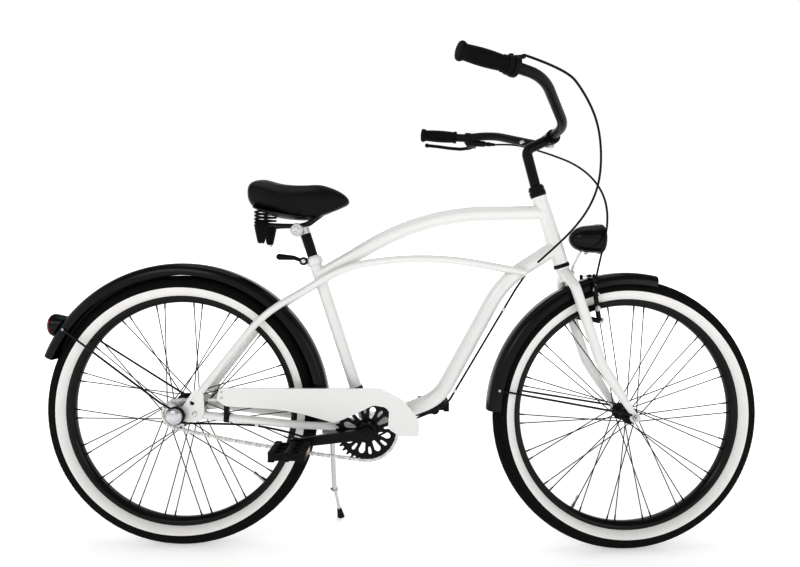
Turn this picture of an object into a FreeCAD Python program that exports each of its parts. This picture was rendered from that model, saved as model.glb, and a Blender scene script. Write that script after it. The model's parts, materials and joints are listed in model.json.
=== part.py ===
import FreeCAD, Part
import math
import os

os.makedirs("parts", exist_ok=True)
V = FreeCAD.Vector

# The bicycle is drawn upright: x forward from the rear axle, y to the rider's left, z up from the ground.
# It is then turned into the stance in which it parks. Lengths are in mm.

# Stance
LEAN_DEG = 3.6             # lean to the left, onto the stand
STEER_REST_DEG = 4.4       # fork and handlebar turned to the left

# Wheels
RIM_SEAT_R = 284.0         # where the tyre sits
RIM_DEPTH = 17.0
RIM_SEAT_HALF = 15.4
RIM_INNER_HALF = 9.5
TYRE_SECTION_R = 27.0
TYRE_SEAT_SINK = 5.0       # how far the round section reaches below its seat
WHITE_WIDTH = 22.5         # white side wall, from the rim outwards
WHITE_DEPTH = 2.4
SHOULDER = math.radians(48.0)    # of the tread, up the tyre's section
SPOKES = 36
SPOKE_HALF = 0.95
AXLE_R = 4.76
RUN_FIT = 0.05             # radial gap of a turning fit
HUB_REAR = (26.0, 36.0, 29.0)    # shell radius, flange radius, flange place
HUB_FRONT = (12.5, 21.0, 27.0)
FLANGE_THICK = 3.2

RIM_INNER_R = RIM_SEAT_R - RIM_DEPTH
TYRE_R = RIM_SEAT_R - TYRE_SEAT_SINK + 2 * TYRE_SECTION_R
TYRE_CORE_R = TYRE_R - TYRE_SECTION_R
WHITE_R = RIM_SEAT_R + WHITE_WIDTH
AXLE_Z = TYRE_R

# Steering
HEAD_ANGLE = math.radians(71.0)
FORK_OFFSET = 35.6
HEAD_TUBE_R = 18.5
HEAD_TUBE_LEN = 174.5
HEAD_TUBE_RISE = 370.0     # lower face of the head tube above the axles
STEERER_R = 12.7
CUP_WALL = 3.0
CUP_R = 20.0
BLADE_R = 12.6
BLADE_TIP_R = 7.5
BLADE_GAP = 8.0            # tyre to fork blade
FRONT_DROP_THICK = 6.0

# Frame tubes
BB_ROOM = 125.0            # rear tyre to the middle of the bottom bracket
TOE_ROOM = 111.0           # down tube to the front tyre, low down
BB_DROP = 35.0             # bottom bracket below the axles
BB_R = 27.0
BB_HALF = 35.0
SEAT_ANGLE = math.radians(71.5)
SEAT_TUBE_R = 15.0
SEAT_TUBE_LEN = 441.0
SEAT_POST_R = 12.7
SEAT_POST_IN = 105.0
SEAT_POST_OUT = 74.0
TOP_TUBE_R = 17.0
TOP_TUBE_SLOPE = math.radians(30.5)
TOP_TUBE_RUN = 301.0       # up to its bend
TOP_TUBE_BEND = 557.0
TOP_TUBE_BELOW = 51.0      # below the top of the seat tube
TOP_TUBE_HEAD = 41.5       # below the top of the head tube
DOWN_TUBE_R = 19.0
DOWN_TUBE_HEAD = 42.0      # above the foot of the head tube
DOWN_TUBE_REACH = 175.0    # lower bend ahead of the bottom bracket
DOWN_TUBE_RISE = 70.0      # and above it
SIDE_BAR_R = 8.75
SIDE_BAR_BELOW = 77.0      # below the top of the seat tube
SIDE_ARCH_DROP = 97.0      # side bars under the top tube's bend
BRIDGE_R = 6.0
CHAIN_STAY_R = 9.5
DROPOUT_IN = 62.0          # inner face from the middle
DROPOUT_THICK = 5.0
STAY_GAP = 5.5             # tyre to chain stay
DROP_X = 44.0              # where the stays meet the dropout plates
DROP_EDGE = [(-16, -12, 9), (6, -18, 8), (66, -11, 9), (72, 12, 8), (68, 62, 10), (46, 62, 10), (20, 22, 12),
             (-14, 16, 10)]     # ahead of and above the axle, radius
DROP_HOLES = ((24, 1, 5.0), (50, 6, 7.0), (43, 32, 6.0))

# Drive
CHAIN_LINE = 45.0
CHAIN_PITCH = 12.7
RING_TEETH = 36
SPROCKET_TEETH = 17
RING_THICK = 3.0
ROLLER_R = 3.9
CHAIN_HALF_HEIGHT = 4.4
CHAIN_SIDE_GAP = 0.08      # teeth to chain plates
CHAIN_PLATE = 1.5
SAG = (215.0, -84.0)       # corner of the slack run, from the rear axle
SAG_BEND = 800.0
CRANK_LENGTH = 170.0
CRANK_ANGLE = 188.0        # right crank from straight ahead, anticlockwise from the left side
CRANK_IN = 70.0
CRANK_THICK = 14.0
CRANK_ROOT = 12.5          # half width of the arm at the spindle and at the pedal
CRANK_TIP = 9.5
SPINDLE_R = 9.5
PEDAL_AXLE_R = 6.0
PEDAL_IN = 98.0
PEDAL_WIDTH = 88.0
PEDAL_LENGTH = 82.0
PEDAL_HEIGHT = 23.0
PEDAL_RAIL = 15.0          # tread bars, front and back
PEDAL_WALL = 6.0
CLICK_R = 19.5             # gear box on the end of the rear axle
CLICK_AHEAD = 9.0
CLICK_RISE = 4.0
GUARD_OUT = 64.0
GUARD_THICK = 1.8
GUARD_EDGE = [(-358, 74, 12), (-352, 102, 10), (30, 103, 60), (87, 75, 60), (125, 30, 40), (123, -9, 4),
              (78, -9, 8), (50, 8, 16), (53, 58, 14), (15, 64, 20), (-38, 38, 18), (-76, 21, 30), (-158, 43, 30),
              (-218, 53, 40), (-336, 59, 12)]    # ahead of and above the bottom bracket, radius
GUARD_LIP = 10.0
GUARD_LIP_WALL = 1.6

# Fenders
FENDER_SIDE_GAP = 6.0
FENDER_DEPTH = 28.0
FENDER_WALL = 1.4
REAR_FENDER_GAP = 31.0
FRONT_FENDER_GAP = 17.0
FENDER_STAY_R = 2.4
REAR_FENDER_FROM = -5.5     # angle above straight ahead where each fender starts, and its sweep
REAR_FENDER_SWEEP = 163.5
FRONT_FENDER_FROM = 78.0
FRONT_FENDER_SWEEP = 100.0
REAR_STAY_DEG = 144.5      # where the stays meet the fenders
FRONT_STAY_DEG = 169.0
STAY_LAP = 5.0             # fender stay on the fender's edge

# Handlebar and saddle
BAR_R = 11.1
BAR_RISE = 126.8           # clamp above the top of the head tube, along the steering axis
BAR_AHEAD = 74.1           # and ahead of that axis
BAR_SWEEP = [(0, 0, 0, 0), (0, -96, 6, 95), (-93, -238, 66, 170), (-163, -282, 67, 110),
             (-280, -317, 81, 0)]             # ahead, left and above the clamp, bend radius
GRIP_R = 16.0
GRIP_LEN = 98.0
SHIFTER_R = 21.0
SHIFTER_LEN = 26.0
QUILL_R = 12.5
CABLE_R = 2.4
LOOP_ROUTE = [(-86, -272, 379), (-38, -240, 347), (7, -202, 300), (33, -164, 243), (44, -128, 181), (34, -100, 129),
              (7, -76, 82), (-31, -54, 39), (-69, -34, 1)]      # from the foot of the head tube
BRAKE_ROUTE = [(-65, 228, 349), (-26, 180, 327), (19, 126, 297), (63, 74, 263), (97, 34, 218), (110, -4, 165),
               (105, -34, 109), (91, -48, 54)]
LAMP_R = 35.0
LAMP_LEN = 79.0
REAR_LAMP_R = 28.0
REAR_LAMP_RISE = 208.0     # above the axles
SADDLE_HALF = 110.0
SADDLE_NOSE_HALF = 23.0
SADDLE_SIDE = [(-112, 58, 8), (-116, 88, 12), (-102, 121, 14), (-34, 110, 60), (60, 113, 60), (112, 94, 24),
               (130, 62, 9), (92, 52, 20), (22, 34, 50), (-60, 42, 40)]    # ahead of and above the clamp, radius
SADDLE_TOP = [(-117, -SADDLE_HALF + 12, 44), (-117, SADDLE_HALF - 12, 44), (-50, SADDLE_HALF, 50), (18, 42, 60),
              (132, SADDLE_NOSE_HALF, 20), (132, -SADDLE_NOSE_HALF, 20), (18, -42, 60),
              (-50, -SADDLE_HALF, 50)]         # ahead of and left of the clamp, radius
SPRING_SPREAD = 48.0
SPRING_R = 18.0
RAIL_R = 4.2

# Side stand
STAND_ROOM = 31.0          # rear tyre to the stand's pivot
STAND_OUT = 33.0
STAND_DROP = 63.0          # pivot below the axle line
STAND_TILT = math.radians(3.0)
STAND_LEG_R = 6.0
STAND_ROD_R = 4.0
STAND_PIN_R = 4.0
STAND_KNEE = 142.0         # knee of the leg below the pivot
FOOT_R = 8.0
FOOT_AHEAD = 13.0          # foot ahead of the pivot
FOOT_OUT = 138.0

BB_FORWARD = TYRE_R + BB_ROOM
WHEELBASE = BB_FORWARD + DOWN_TUBE_REACH + DOWN_TUBE_R + TOE_ROOM + TYRE_R
STAND_AHEAD = TYRE_R + STAND_ROOM
FENDER_HALF = TYRE_SECTION_R + FENDER_SIDE_GAP
REAR_FENDER_R = TYRE_R + REAR_FENDER_GAP
FRONT_FENDER_R = TYRE_R + FRONT_FENDER_GAP
BLADE_OUT = TYRE_SECTION_R + BLADE_GAP + BLADE_R
DROPOUT_OUT = DROPOUT_IN + DROPOUT_THICK
CRANK_OUT = CRANK_IN + CRANK_THICK
PEDAL_OUT = PEDAL_IN + PEDAL_WIDTH
STAY_OUT = TYRE_SECTION_R + STAY_GAP + CHAIN_STAY_R
BB = V(BB_FORWARD, 0, AXLE_Z - BB_DROP)
REAR = V(0, 0, AXLE_Z)
FRONT = V(WHEELBASE, 0, AXLE_Z)
AXIS_AT_AXLE = WHEELBASE - FORK_OFFSET / math.sin(HEAD_ANGLE)
UP_AXIS = V(-math.cos(HEAD_ANGLE), 0, math.sin(HEAD_ANGLE))
FORWARD = V(math.sin(HEAD_ANGLE), 0, math.cos(HEAD_ANGLE))
HEAD_LOW = V(AXIS_AT_AXLE - HEAD_TUBE_RISE / math.tan(HEAD_ANGLE), 0, AXLE_Z + HEAD_TUBE_RISE)
SEAT_DIR = V(-math.cos(SEAT_ANGLE), 0, math.sin(SEAT_ANGLE))


# Shapes

def above(x, y, rise):
    """a point by its height above the axles."""
    return V(x, y, AXLE_Z + rise)


def on_axis(s, y=0.0, forward=0.0):
    """a point by its distance up the steering axis from the lower face of the head tube."""
    return HEAD_LOW + UP_AXIS * s + FORWARD * forward + V(0, y, 0)


def on_seat(s, y=0.0):
    """a point of the seat tube's line, from the bottom bracket upwards."""
    return BB + SEAT_DIR * s + V(0, y, 0)


def polar(centre, r, deg, y=0.0):
    a = math.radians(deg)
    return centre + V(r * math.cos(a), y, r * math.sin(a))


def cyl(p, q, r):
    return Part.makeCylinder(r, (q - p).Length, p, q - p)


def cone(p, q, r1, r2):
    return Part.makeCone(r1, r2, (q - p).Length, p, q - p)


def across(centre, y0, y1, r):
    return cyl(centre + V(0, min(y0, y1), 0), centre + V(0, max(y0, y1), 0), r)


def arc_path(points):
    """points: a place and the radius of the bend there; the two ends have none."""
    edges = []
    start = points[0][0]
    for i in range(1, len(points) - 1):
        p, r = points[i]
        a = (points[i - 1][0] - p).normalize()
        b = (points[i + 1][0] - p).normalize()
        half = a.getAngle(b) / 2
        t = r / math.tan(half)
        first, last = p + a * t, p + b * t
        mid = p + (a + b).normalize() * (r / math.sin(half) - r)
        if (first - start).Length > 1e-4:
            edges.append(Part.makeLine(start, first))
        edges.append(Part.Arc(first, mid, last).toShape())
        start = last
    if (points[-1][0] - start).Length > 1e-4:
        edges.append(Part.makeLine(start, points[-1][0]))
    return edges


def rod(points, r):
    path = Part.Wire(arc_path(points))
    circle = Part.Wire(Part.makeCircle(r, points[0][0], points[1][0] - points[0][0]))
    return path.makePipeShell([circle], True, False)


def outline(points):
    """points: x, z and corner radius, closed, in the plane y = 0."""
    n = len(points)
    edges = []
    ends = []
    for i in range(n):
        p = V(points[i][0], 0, points[i][1])
        a = (V(points[i - 1][0], 0, points[i - 1][1]) - p).normalize()
        b = (V(points[(i + 1) % n][0], 0, points[(i + 1) % n][1]) - p).normalize()
        r = points[i][2]
        half = a.getAngle(b) / 2
        t = r / math.tan(half) if r else 0.0
        mid = p + (a + b).normalize() * (r / math.sin(half) - r) if r else None
        ends.append((p + a * t, mid, p + b * t))
    for i in range(n):
        first, mid, last = ends[i]
        if mid is not None:
            edges.append(Part.Arc(first, mid, last).toShape())
        nxt = ends[(i + 1) % n][0]
        if (nxt - last).Length > 1e-4:
            edges.append(Part.makeLine(last, nxt))
    return Part.Wire(edges)


def slab(wire, y0, y1):
    face = Part.Face(wire)
    face.translate(V(0, min(y0, y1), 0))
    return face.extrude(V(0, abs(y1 - y0), 0))


def plate(points, y0, y1):
    return slab(outline(points), y0, y1)


def spun(profile, centre, start=0.0, sweep=360.0):
    """profile: r and y, closed, turned about a wheel's axis from an angle above straight ahead."""
    pts = [V(r, y, 0) for r, y in profile]
    face = Part.Face(Part.makePolygon(pts + [pts[0]]))
    solid = face.revolve(V(0, 0, 0), V(0, -1, 0), sweep)
    solid.rotate(V(0, 0, 0), V(0, -1, 0), start)
    solid.translate(centre)
    return solid


def mirrored(shape):
    return shape.mirror(V(0, 0, 0), V(0, 1, 0))


def pair(shape):
    return Part.makeCompound([shape, mirrored(shape)])


def fuse(shapes):
    return shapes[0].multiFuse(shapes[1:]).removeSplitter()


def cut(shape, tools):
    for tool in tools:
        shape = shape.cut(tool)
    return shape


def main_solid(shape):
    return max(shape.Solids, key=lambda s: s.Volume)


def box(centre, dx, dy, dz):
    return Part.makeBox(dx, dy, dz, centre - V(dx / 2, dy / 2, dz / 2))


def bar4(p, q, half):
    """a thin square bar, used for each spoke."""
    d = (q - p).normalize()
    u = d.cross(V(0, 1, 0)).normalize() * half
    w = d.cross(u).normalize() * half
    face = Part.Face(Part.makePolygon([p + u, p + w, p - u, p - w, p + u]))
    return face.extrude(q - p)


def nut(centre, y0, y1, across_flats):
    r = across_flats / math.sqrt(3)
    pts = [polar(centre, r, 60 * k, min(y0, y1)) for k in range(6)]
    return Part.Face(Part.makePolygon(pts + [pts[0]])).extrude(V(0, abs(y1 - y0), 0))


nodes = {}
bodies = {}


def add(body, name, shape):
    nodes[name] = shape
    bodies[name] = body


def pitch_r(teeth):
    return CHAIN_PITCH / (2 * math.sin(math.pi / teeth))


def toothed(teeth, y0, y1, centre):
    r = pitch_r(teeth)
    pts = []
    for k in range(teeth):
        for f, d in ((-0.30, -ROLLER_R), (-0.12, 3.6), (0.12, 3.6), (0.30, -ROLLER_R)):
            pts.append(polar(centre, r + d, 360.0 * (k + f) / teeth, min(y0, y1)))
    return Part.Face(Part.makePolygon(pts + [pts[0]])).extrude(V(0, abs(y1 - y0), 0))


# Frame

head_solid = cyl(on_axis(0), on_axis(HEAD_TUBE_LEN), HEAD_TUBE_R)
head_tube = head_solid.cut(cyl(on_axis(-5), on_axis(HEAD_TUBE_LEN + 5), STEERER_R + CUP_WALL))
CUP_HEIGHT = 9.0
CUP_DEEP = 12.0
cups = []
for face_s, way in ((0.0, -1), (HEAD_TUBE_LEN, 1)):
    outside = cone(on_axis(face_s), on_axis(face_s + way * CUP_HEIGHT), HEAD_TUBE_R + 0.5, CUP_R)
    inside = cyl(on_axis(face_s), on_axis(face_s - way * CUP_DEEP), STEERER_R + CUP_WALL)
    bore = cyl(on_axis(face_s - way * (CUP_DEEP + 2)), on_axis(face_s + way * (CUP_HEIGHT + 2)),
               STEERER_R + RUN_FIT)
    cups.append(outside.fuse(inside).cut(bore))

bb_solid = across(BB, -BB_HALF, BB_HALF, BB_R)
bb_reach = across(BB, -60, 60, BB_R)
bb_shell = bb_solid.cut(across(BB, -60, 60, SPINDLE_R + RUN_FIT))

seat_solid = cyl(BB, on_seat(SEAT_TUBE_LEN), SEAT_TUBE_R)
post_low = on_seat(SEAT_TUBE_LEN - SEAT_POST_IN)
post_top = on_seat(SEAT_TUBE_LEN + SEAT_POST_OUT)
post_bore = cyl(post_low - SEAT_DIR * 8, on_seat(SEAT_TUBE_LEN + 20), SEAT_POST_R + RUN_FIT)
seat_tube = seat_solid.cut(post_bore).cut(bb_solid)

top_start = on_seat(SEAT_TUBE_LEN - TOP_TUBE_BELOW)
top_end = on_axis(HEAD_TUBE_LEN - TOP_TUBE_HEAD)
top_corner = top_start + V(math.cos(TOP_TUBE_SLOPE), 0, math.sin(TOP_TUBE_SLOPE)) * TOP_TUBE_RUN
top_tube = rod([(top_start, 0), (top_corner, TOP_TUBE_BEND), (top_end, 0)], TOP_TUBE_R)
top_tube = main_solid(cut(top_tube, [head_solid, seat_solid]))

down_start = on_axis(DOWN_TUBE_HEAD)
down_upper = down_start + V(-127.8, 0, -82.8)
down_lower = BB + V(DOWN_TUBE_REACH, 0, DOWN_TUBE_RISE)
down_solid = rod([(down_start, 0), (down_upper, 240.0), (down_lower, 110.0), (BB, 0)], DOWN_TUBE_R)
down_tube = main_solid(cut(down_solid, [head_solid, bb_solid, seat_solid]))

SIDE_OUT = SEAT_TUBE_R + SIDE_BAR_R - 1.15
side_seat = on_seat(SEAT_TUBE_LEN - SIDE_BAR_BELOW, -SIDE_OUT)
side_arch = top_corner + V(6.0, -SIDE_OUT, -SIDE_ARCH_DROP)
side_points = [(above(DROP_X, -DROPOUT_IN + 2.0, 35.8), 0),
               (polar(REAR, TYRE_R - 16.0, 49.7, -FENDER_HALF - 17.0), 300.0),
               (side_seat + V(-20.5, 0, 2.0), 260.0),
               (side_seat + V(57.5, 0, 49.0), 300.0),
               (side_arch, 800.0),
               (down_upper + V(50.5, -SIDE_OUT - 0.9, 21.0), 0)]
stay_points = [(above(DROP_X, -DROPOUT_IN + 5.5, 3.0), 0),
               (BB + V(-158.0, -STAY_OUT, 10.0), 180.0),
               (BB + V(-80.0, -CHAIN_LINE + 17.5, 4.0), 120.0),
               (BB + V(-8.0, -BB_HALF + 9.5, 1.0), 0)]
side_solid = rod(side_points, SIDE_BAR_R)
stay_solid = rod(stay_points, CHAIN_STAY_R)

dropout = plate([(x, AXLE_Z + z, r) for x, z, r in DROP_EDGE], -DROPOUT_OUT, -DROPOUT_IN)
dropout = dropout.cut(across(REAR, -80, -40, AXLE_R + 0.02))
for x, z, r in DROP_HOLES:
    dropout = dropout.cut(across(above(x, 0, z), -80, -40, r))
side_bar = main_solid(cut(side_solid, [dropout, seat_solid, down_solid]))
chain_stay = main_solid(cut(stay_solid, [dropout, bb_reach, seat_solid]))


def bridge(a, b, tubes):
    """a cross tube between two stays, resting on the fender where the line from a to b passes over it."""
    a, b = a - REAR, b - REAR
    a.y = b.y = 0
    reach = REAR_FENDER_R + BRIDGE_R - FENDER_WALL / 2
    d = b - a
    k = (-a.dot(d) + math.sqrt(a.dot(d) ** 2 - d.dot(d) * (a.dot(a) - reach ** 2))) / d.dot(d)
    c = REAR + a + d * k
    return main_solid(cut(across(c, -STAY_OUT - 20, STAY_OUT + 20, BRIDGE_R), [tubes, mirrored(tubes)]))


bridge_high = bridge(side_points[1][0], side_points[2][0], side_solid)
bridge_low = bridge(stay_points[1][0], stay_points[2][0], stay_solid)

add("frame", "head_tube", head_tube)
add("frame", "headset_cups", Part.makeCompound(cups))
add("frame", "bottom_bracket_shell", bb_shell)
add("frame", "seat_tube", seat_tube)
add("frame", "top_tube", top_tube)
add("frame", "down_tube", down_tube)
add("frame", "side_bars", pair(side_bar))
add("frame", "chain_stays", pair(chain_stay))
add("frame", "dropouts", pair(dropout))
add("frame", "stay_bridges", Part.makeCompound([bridge_high, bridge_low]))

# Seat post and quick release
post = cyl(post_low, post_top, SEAT_POST_R)
add("frame", "seat_post", post)
CLAMP_DOWN = 13.0          # clamp centre below the top of the seat tube
clamp_c = on_seat(SEAT_TUBE_LEN - CLAMP_DOWN)
collar = cyl(clamp_c - SEAT_DIR * 9, clamp_c + SEAT_DIR * 9, SEAT_TUBE_R + 3.5)
bolt_c = clamp_c + V(-SEAT_TUBE_R - 9.5, 0, 0)
ears = box(bolt_c + V(3, 0, 0), 18, 20, 13)
tube_hole = cyl(clamp_c - SEAT_DIR * 40, clamp_c + SEAT_DIR * 40, SEAT_TUBE_R)
paddle_wire = outline([(-58, 2, 5), (-52, 13, 7), (0, 8, 4), (6, -6, 4), (-8, -7, 4), (-50, -3, 6)])
paddle = slab(paddle_wire, -26, -20)
paddle.translate(bolt_c)
release = fuse([collar, ears, across(bolt_c, -20, -10, 9.5), across(bolt_c, 10, 19, 8.0),
                across(bolt_c, -26, -20, 10.5), paddle])
add("frame", "seat_quick_release", main_solid(release.cut(tube_hole)))

# Saddle on its rails and springs
saddle_c = post_top + V(-13.0, 0, -6.0)
CLAMP_HALF = 24.0
clamp_disc = across(saddle_c, -CLAMP_HALF, CLAMP_HALF, 15.5)
saddle_clamp = main_solid(clamp_disc.cut(post))
SPRING_BACK = 80.0         # springs behind the clamp
spring_x = saddle_c.x - SPRING_BACK
spring_low = saddle_c.z - 38.0
rail_points = [(V(spring_x, -SPRING_SPREAD, spring_low), 0),
               (V(spring_x + 26, -SPRING_SPREAD + 9, saddle_c.z + 8), 20.0),
               (V(saddle_c.x + 16, -CLAMP_HALF + 5, saddle_c.z + 11), 24.0),
               (V(saddle_c.x + 74, -12.0, saddle_c.z + 52), 0)]
saddle_side = slab(outline(SADDLE_SIDE), -SADDLE_HALF - 5, SADDLE_HALF + 5)
saddle_top = Part.Face(outline(SADDLE_TOP))
saddle_top.rotate(V(0, 0, 0), V(1, 0, 0), -90)
saddle = main_solid(saddle_side.common(saddle_top.extrude(V(0, 0, 400))))
saddle.translate(saddle_c)
BOOT_HEIGHT = 58.0
boots = []
springs = []
for side in (-1, 1):
    foot = V(spring_x, side * SPRING_SPREAD, spring_low)
    boots.append(fuse([cone(foot, foot + V(0, 0, BOOT_HEIGHT - 12), 8.0, 14.5),
                       cyl(foot + V(0, 0, BOOT_HEIGHT - 14), foot + V(0, 0, BOOT_HEIGHT), 16.5)]))
    springs.append(main_solid(cyl(foot + V(0, 0, BOOT_HEIGHT), foot + V(0, 0, 120), SPRING_R).cut(saddle)))
rail = cut(rod(rail_points, RAIL_R), [clamp_disc, saddle, boots[0], springs[0], post])
rail = Part.makeCompound([s for s in rail.Solids if s.Volume > 100])
add("frame", "saddle_clamp", saddle_clamp)
add("frame", "saddle", saddle)
add("frame", "saddle_rails", Part.makeCompound(rail.Solids + mirrored(rail).Solids))
add("frame", "saddle_springs", Part.makeCompound(springs))
add("frame", "spring_boots", Part.makeCompound(boots))


# Fenders

def fender(radius, start, sweep, centre):
    w, d, t = FENDER_HALF, FENDER_DEPTH, FENDER_WALL
    out = ((d, 1.0), (d * 0.5, 0.97), (d * 0.2, 0.72), (0.0, 0.3))     # drop below the crown, share of half width
    skin = [(radius - k, -w * f) for k, f in out] + [(radius - k, w * f) for k, f in reversed(out)]
    core = [(radius - k - t * (0.0 if k == d else 1.0), (w - t) * f) for k, f in out]
    core = core + [(r, -y) for r, y in reversed(core)]
    return spun(skin + core, centre, start, sweep)


rear_fender = fender(REAR_FENDER_R, REAR_FENDER_FROM, REAR_FENDER_SWEEP, REAR)
rear_fender = main_solid(cut(rear_fender, [stay_solid, mirrored(stay_solid), bridge_low, bridge_high]))
add("frame", "rear_fender", rear_fender)
eyelet = above(8, -DROPOUT_OUT, 10)
stay_end = polar(REAR, REAR_FENDER_R - FENDER_DEPTH + STAY_LAP, REAR_STAY_DEG, -FENDER_HALF - FENDER_STAY_R + 1)
fender_stay = rod([(eyelet + V(0, -3.0, 0), 0), (above(-34, -DROPOUT_OUT + 2, 32), 16.0), (stay_end, 0)],
                  FENDER_STAY_R)
fender_stay = fender_stay.fuse(across(eyelet, -6, 0, 4.5))
rear_nuts = [nut(REAR, -DROPOUT_OUT - 9, -DROPOUT_OUT, 15), nut(REAR, DROPOUT_OUT, DROPOUT_OUT + 9, 15)]
AXLE_END = 90.0
rear_axle = fuse([across(REAR, -AXLE_END, AXLE_END, AXLE_R)] + rear_nuts)
fender_stay = main_solid(cut(fender_stay, [dropout, rear_fender, rear_axle]))
add("frame", "rear_fender_stays", pair(fender_stay))
lamp_back = math.sqrt(REAR_FENDER_R ** 2 - (REAR_LAMP_RISE - REAR_LAMP_R) ** 2) + 3.0
lamp_c = above(-lamp_back, 0, REAR_LAMP_RISE)
lamp_cup = cone(lamp_c + V(58, 0, 0), lamp_c, 12.0, REAR_LAMP_R)
lamp_cup = main_solid(lamp_cup.cut(across(REAR, -60, 60, REAR_FENDER_R)))
add("frame", "rear_lamp", lamp_cup)
add("frame", "rear_lamp_lens", cyl(lamp_c, lamp_c + V(-9, 0, 0), REAR_LAMP_R))
add("frame", "rear_axle", rear_axle)
click_c = above(CLICK_AHEAD, 0, CLICK_RISE)
click_base = -DROPOUT_OUT - 9
click = across(click_c, click_base - 12, click_base, CLICK_R).fuse(
    cyl(click_c + V(0, click_base - 12, 0), click_c + V(0, click_base - 16, 0), CLICK_R - 3).fuse(
        cone(click_c + V(0, click_base - 16, 0), click_c + V(0, click_base - 22, 0), CLICK_R - 3, CLICK_R - 9)))
add("frame", "gear_click_box", main_solid(click.cut(rear_axle)))

# Chain guard: a plate with an inward lip, held at the chain stay and the seat tube
guard_wire = outline([(BB.x + x, BB.z + z, r) for x, z, r in GUARD_EDGE])
guard_sheet = slab(guard_wire, -GUARD_OUT, -GUARD_OUT + GUARD_THICK)
lip_ring = Part.Face(guard_wire).cut(Part.Face(guard_wire.makeOffset2D(-GUARD_LIP_WALL)))
lip_ring.translate(V(0, -GUARD_OUT + GUARD_THICK, 0))
lip = lip_ring.extrude(V(0, GUARD_LIP - GUARD_THICK, 0))
lip = lip.common(Part.makeBox(600, 40, 80, BB + V(-378, -GUARD_OUT, 65)))
guard = fuse([guard_sheet, lip])
add("frame", "chain_guard", guard)
clip_x = BB.x - 335.0
span = (stay_points[1][0] - stay_points[0][0])
clip_c = stay_points[0][0] + span * ((clip_x - DROP_X) / span.x)
clip_dir = V(span.x, span.y, span.z).normalize()
clip_ring = cyl(clip_c - clip_dir * 6, clip_c + clip_dir * 6, CHAIN_STAY_R + 2.0)
clip_tab = box(clip_c + V(0, -GUARD_OUT - clip_c.y + 7.0, 14), 11, 10.4, 34)
rear_clip = main_solid(cut(clip_ring.fuse(clip_tab), [stay_solid, guard]))
BAND_S = 96.0
band_c = on_seat(BAND_S)
band = cyl(band_c - SEAT_DIR * 5, band_c + SEAT_DIR * 5, SEAT_TUBE_R + 2.0)
band_tab = Part.makeBox(14, GUARD_OUT - GUARD_THICK, 5, V(band_c.x - 4, -GUARD_OUT + GUARD_THICK, band_c.z - 2))
front_clip = main_solid(cut(band.fuse(band_tab), [seat_solid, guard]))
add("frame", "chain_guard_clamps", Part.makeCompound([rear_clip, front_clip]))


# Chain: two layers of plates beside the teeth, with rollers along the upper run

def turned(v, a):
    return V(v.x * math.cos(a) - v.z * math.sin(a), 0, v.x * math.sin(a) + v.z * math.cos(a))


def chain_loop(offset):
    ra, rb = pitch_r(SPROCKET_TEETH), pitch_r(RING_TEETH)
    corner = above(SAG[0], 0, SAG[1])
    ab = BB - REAR
    w = V(ab.x, 0, ab.z).normalize()
    c = (ra - rb) / ab.Length
    top = w * c + turned(w, math.pi / 2) * math.sqrt(1 - c * c)
    na = turned((corner - REAR).normalize(), -math.acos(ra / (corner - REAR).Length))
    nb = turned((corner - BB).normalize(), math.acos(rb / (corner - BB).Length))
    ra, rb = ra + offset, rb + offset
    p1, p2 = REAR + top * ra, REAR + na * ra
    p3, p4 = BB + nb * rb, BB + top * rb
    ta, tb = turned(na, math.pi / 2), turned(nb, math.pi / 2)
    det = ta.x * tb.z - ta.z * tb.x
    k = ((p3.x - p2.x) * tb.z - (p3.z - p2.z) * tb.x) / det
    lower = arc_path([(p2, 0), (p2 + ta * k, SAG_BEND + offset), (p3, 0)])
    arc_a = Part.Arc(p1, REAR + V(-ra, 0, 0), p2).toShape()
    arc_b = Part.Arc(p3, BB + V(rb, 0, 0), p4).toShape()
    return Part.Wire([arc_a] + lower + [arc_b, Part.makeLine(p4, p1)]), p4, p1


outer_wire, _, _ = chain_loop(CHAIN_HALF_HEIGHT)
inner_wire, _, _ = chain_loop(-CHAIN_HALF_HEIGHT)
_, run_from, run_to = chain_loop(0.0)
loop_face = Part.Face(outer_wire).cut(Part.Face(inner_wire))
layers = []
plate_in = RING_THICK / 2 + CHAIN_SIDE_GAP
for y0 in (-CHAIN_LINE - plate_in - CHAIN_PLATE, -CHAIN_LINE + plate_in):
    layer = loop_face.copy()
    layer.translate(V(0, y0, 0))
    layers.append(layer.extrude(V(0, CHAIN_PLATE, 0)))
rollers = []
run = run_to - run_from
for k in range(4, int(run.Length / CHAIN_PITCH) - 2, 3):
    c = run_from + run * (k * CHAIN_PITCH / run.Length)
    rollers.append(nut(c, -CHAIN_LINE - plate_in - 0.5, -CHAIN_LINE + plate_in + 0.5, 2 * ROLLER_R - 0.6))
add("frame", "chain", fuse(layers + rollers))


# Wheels

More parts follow.
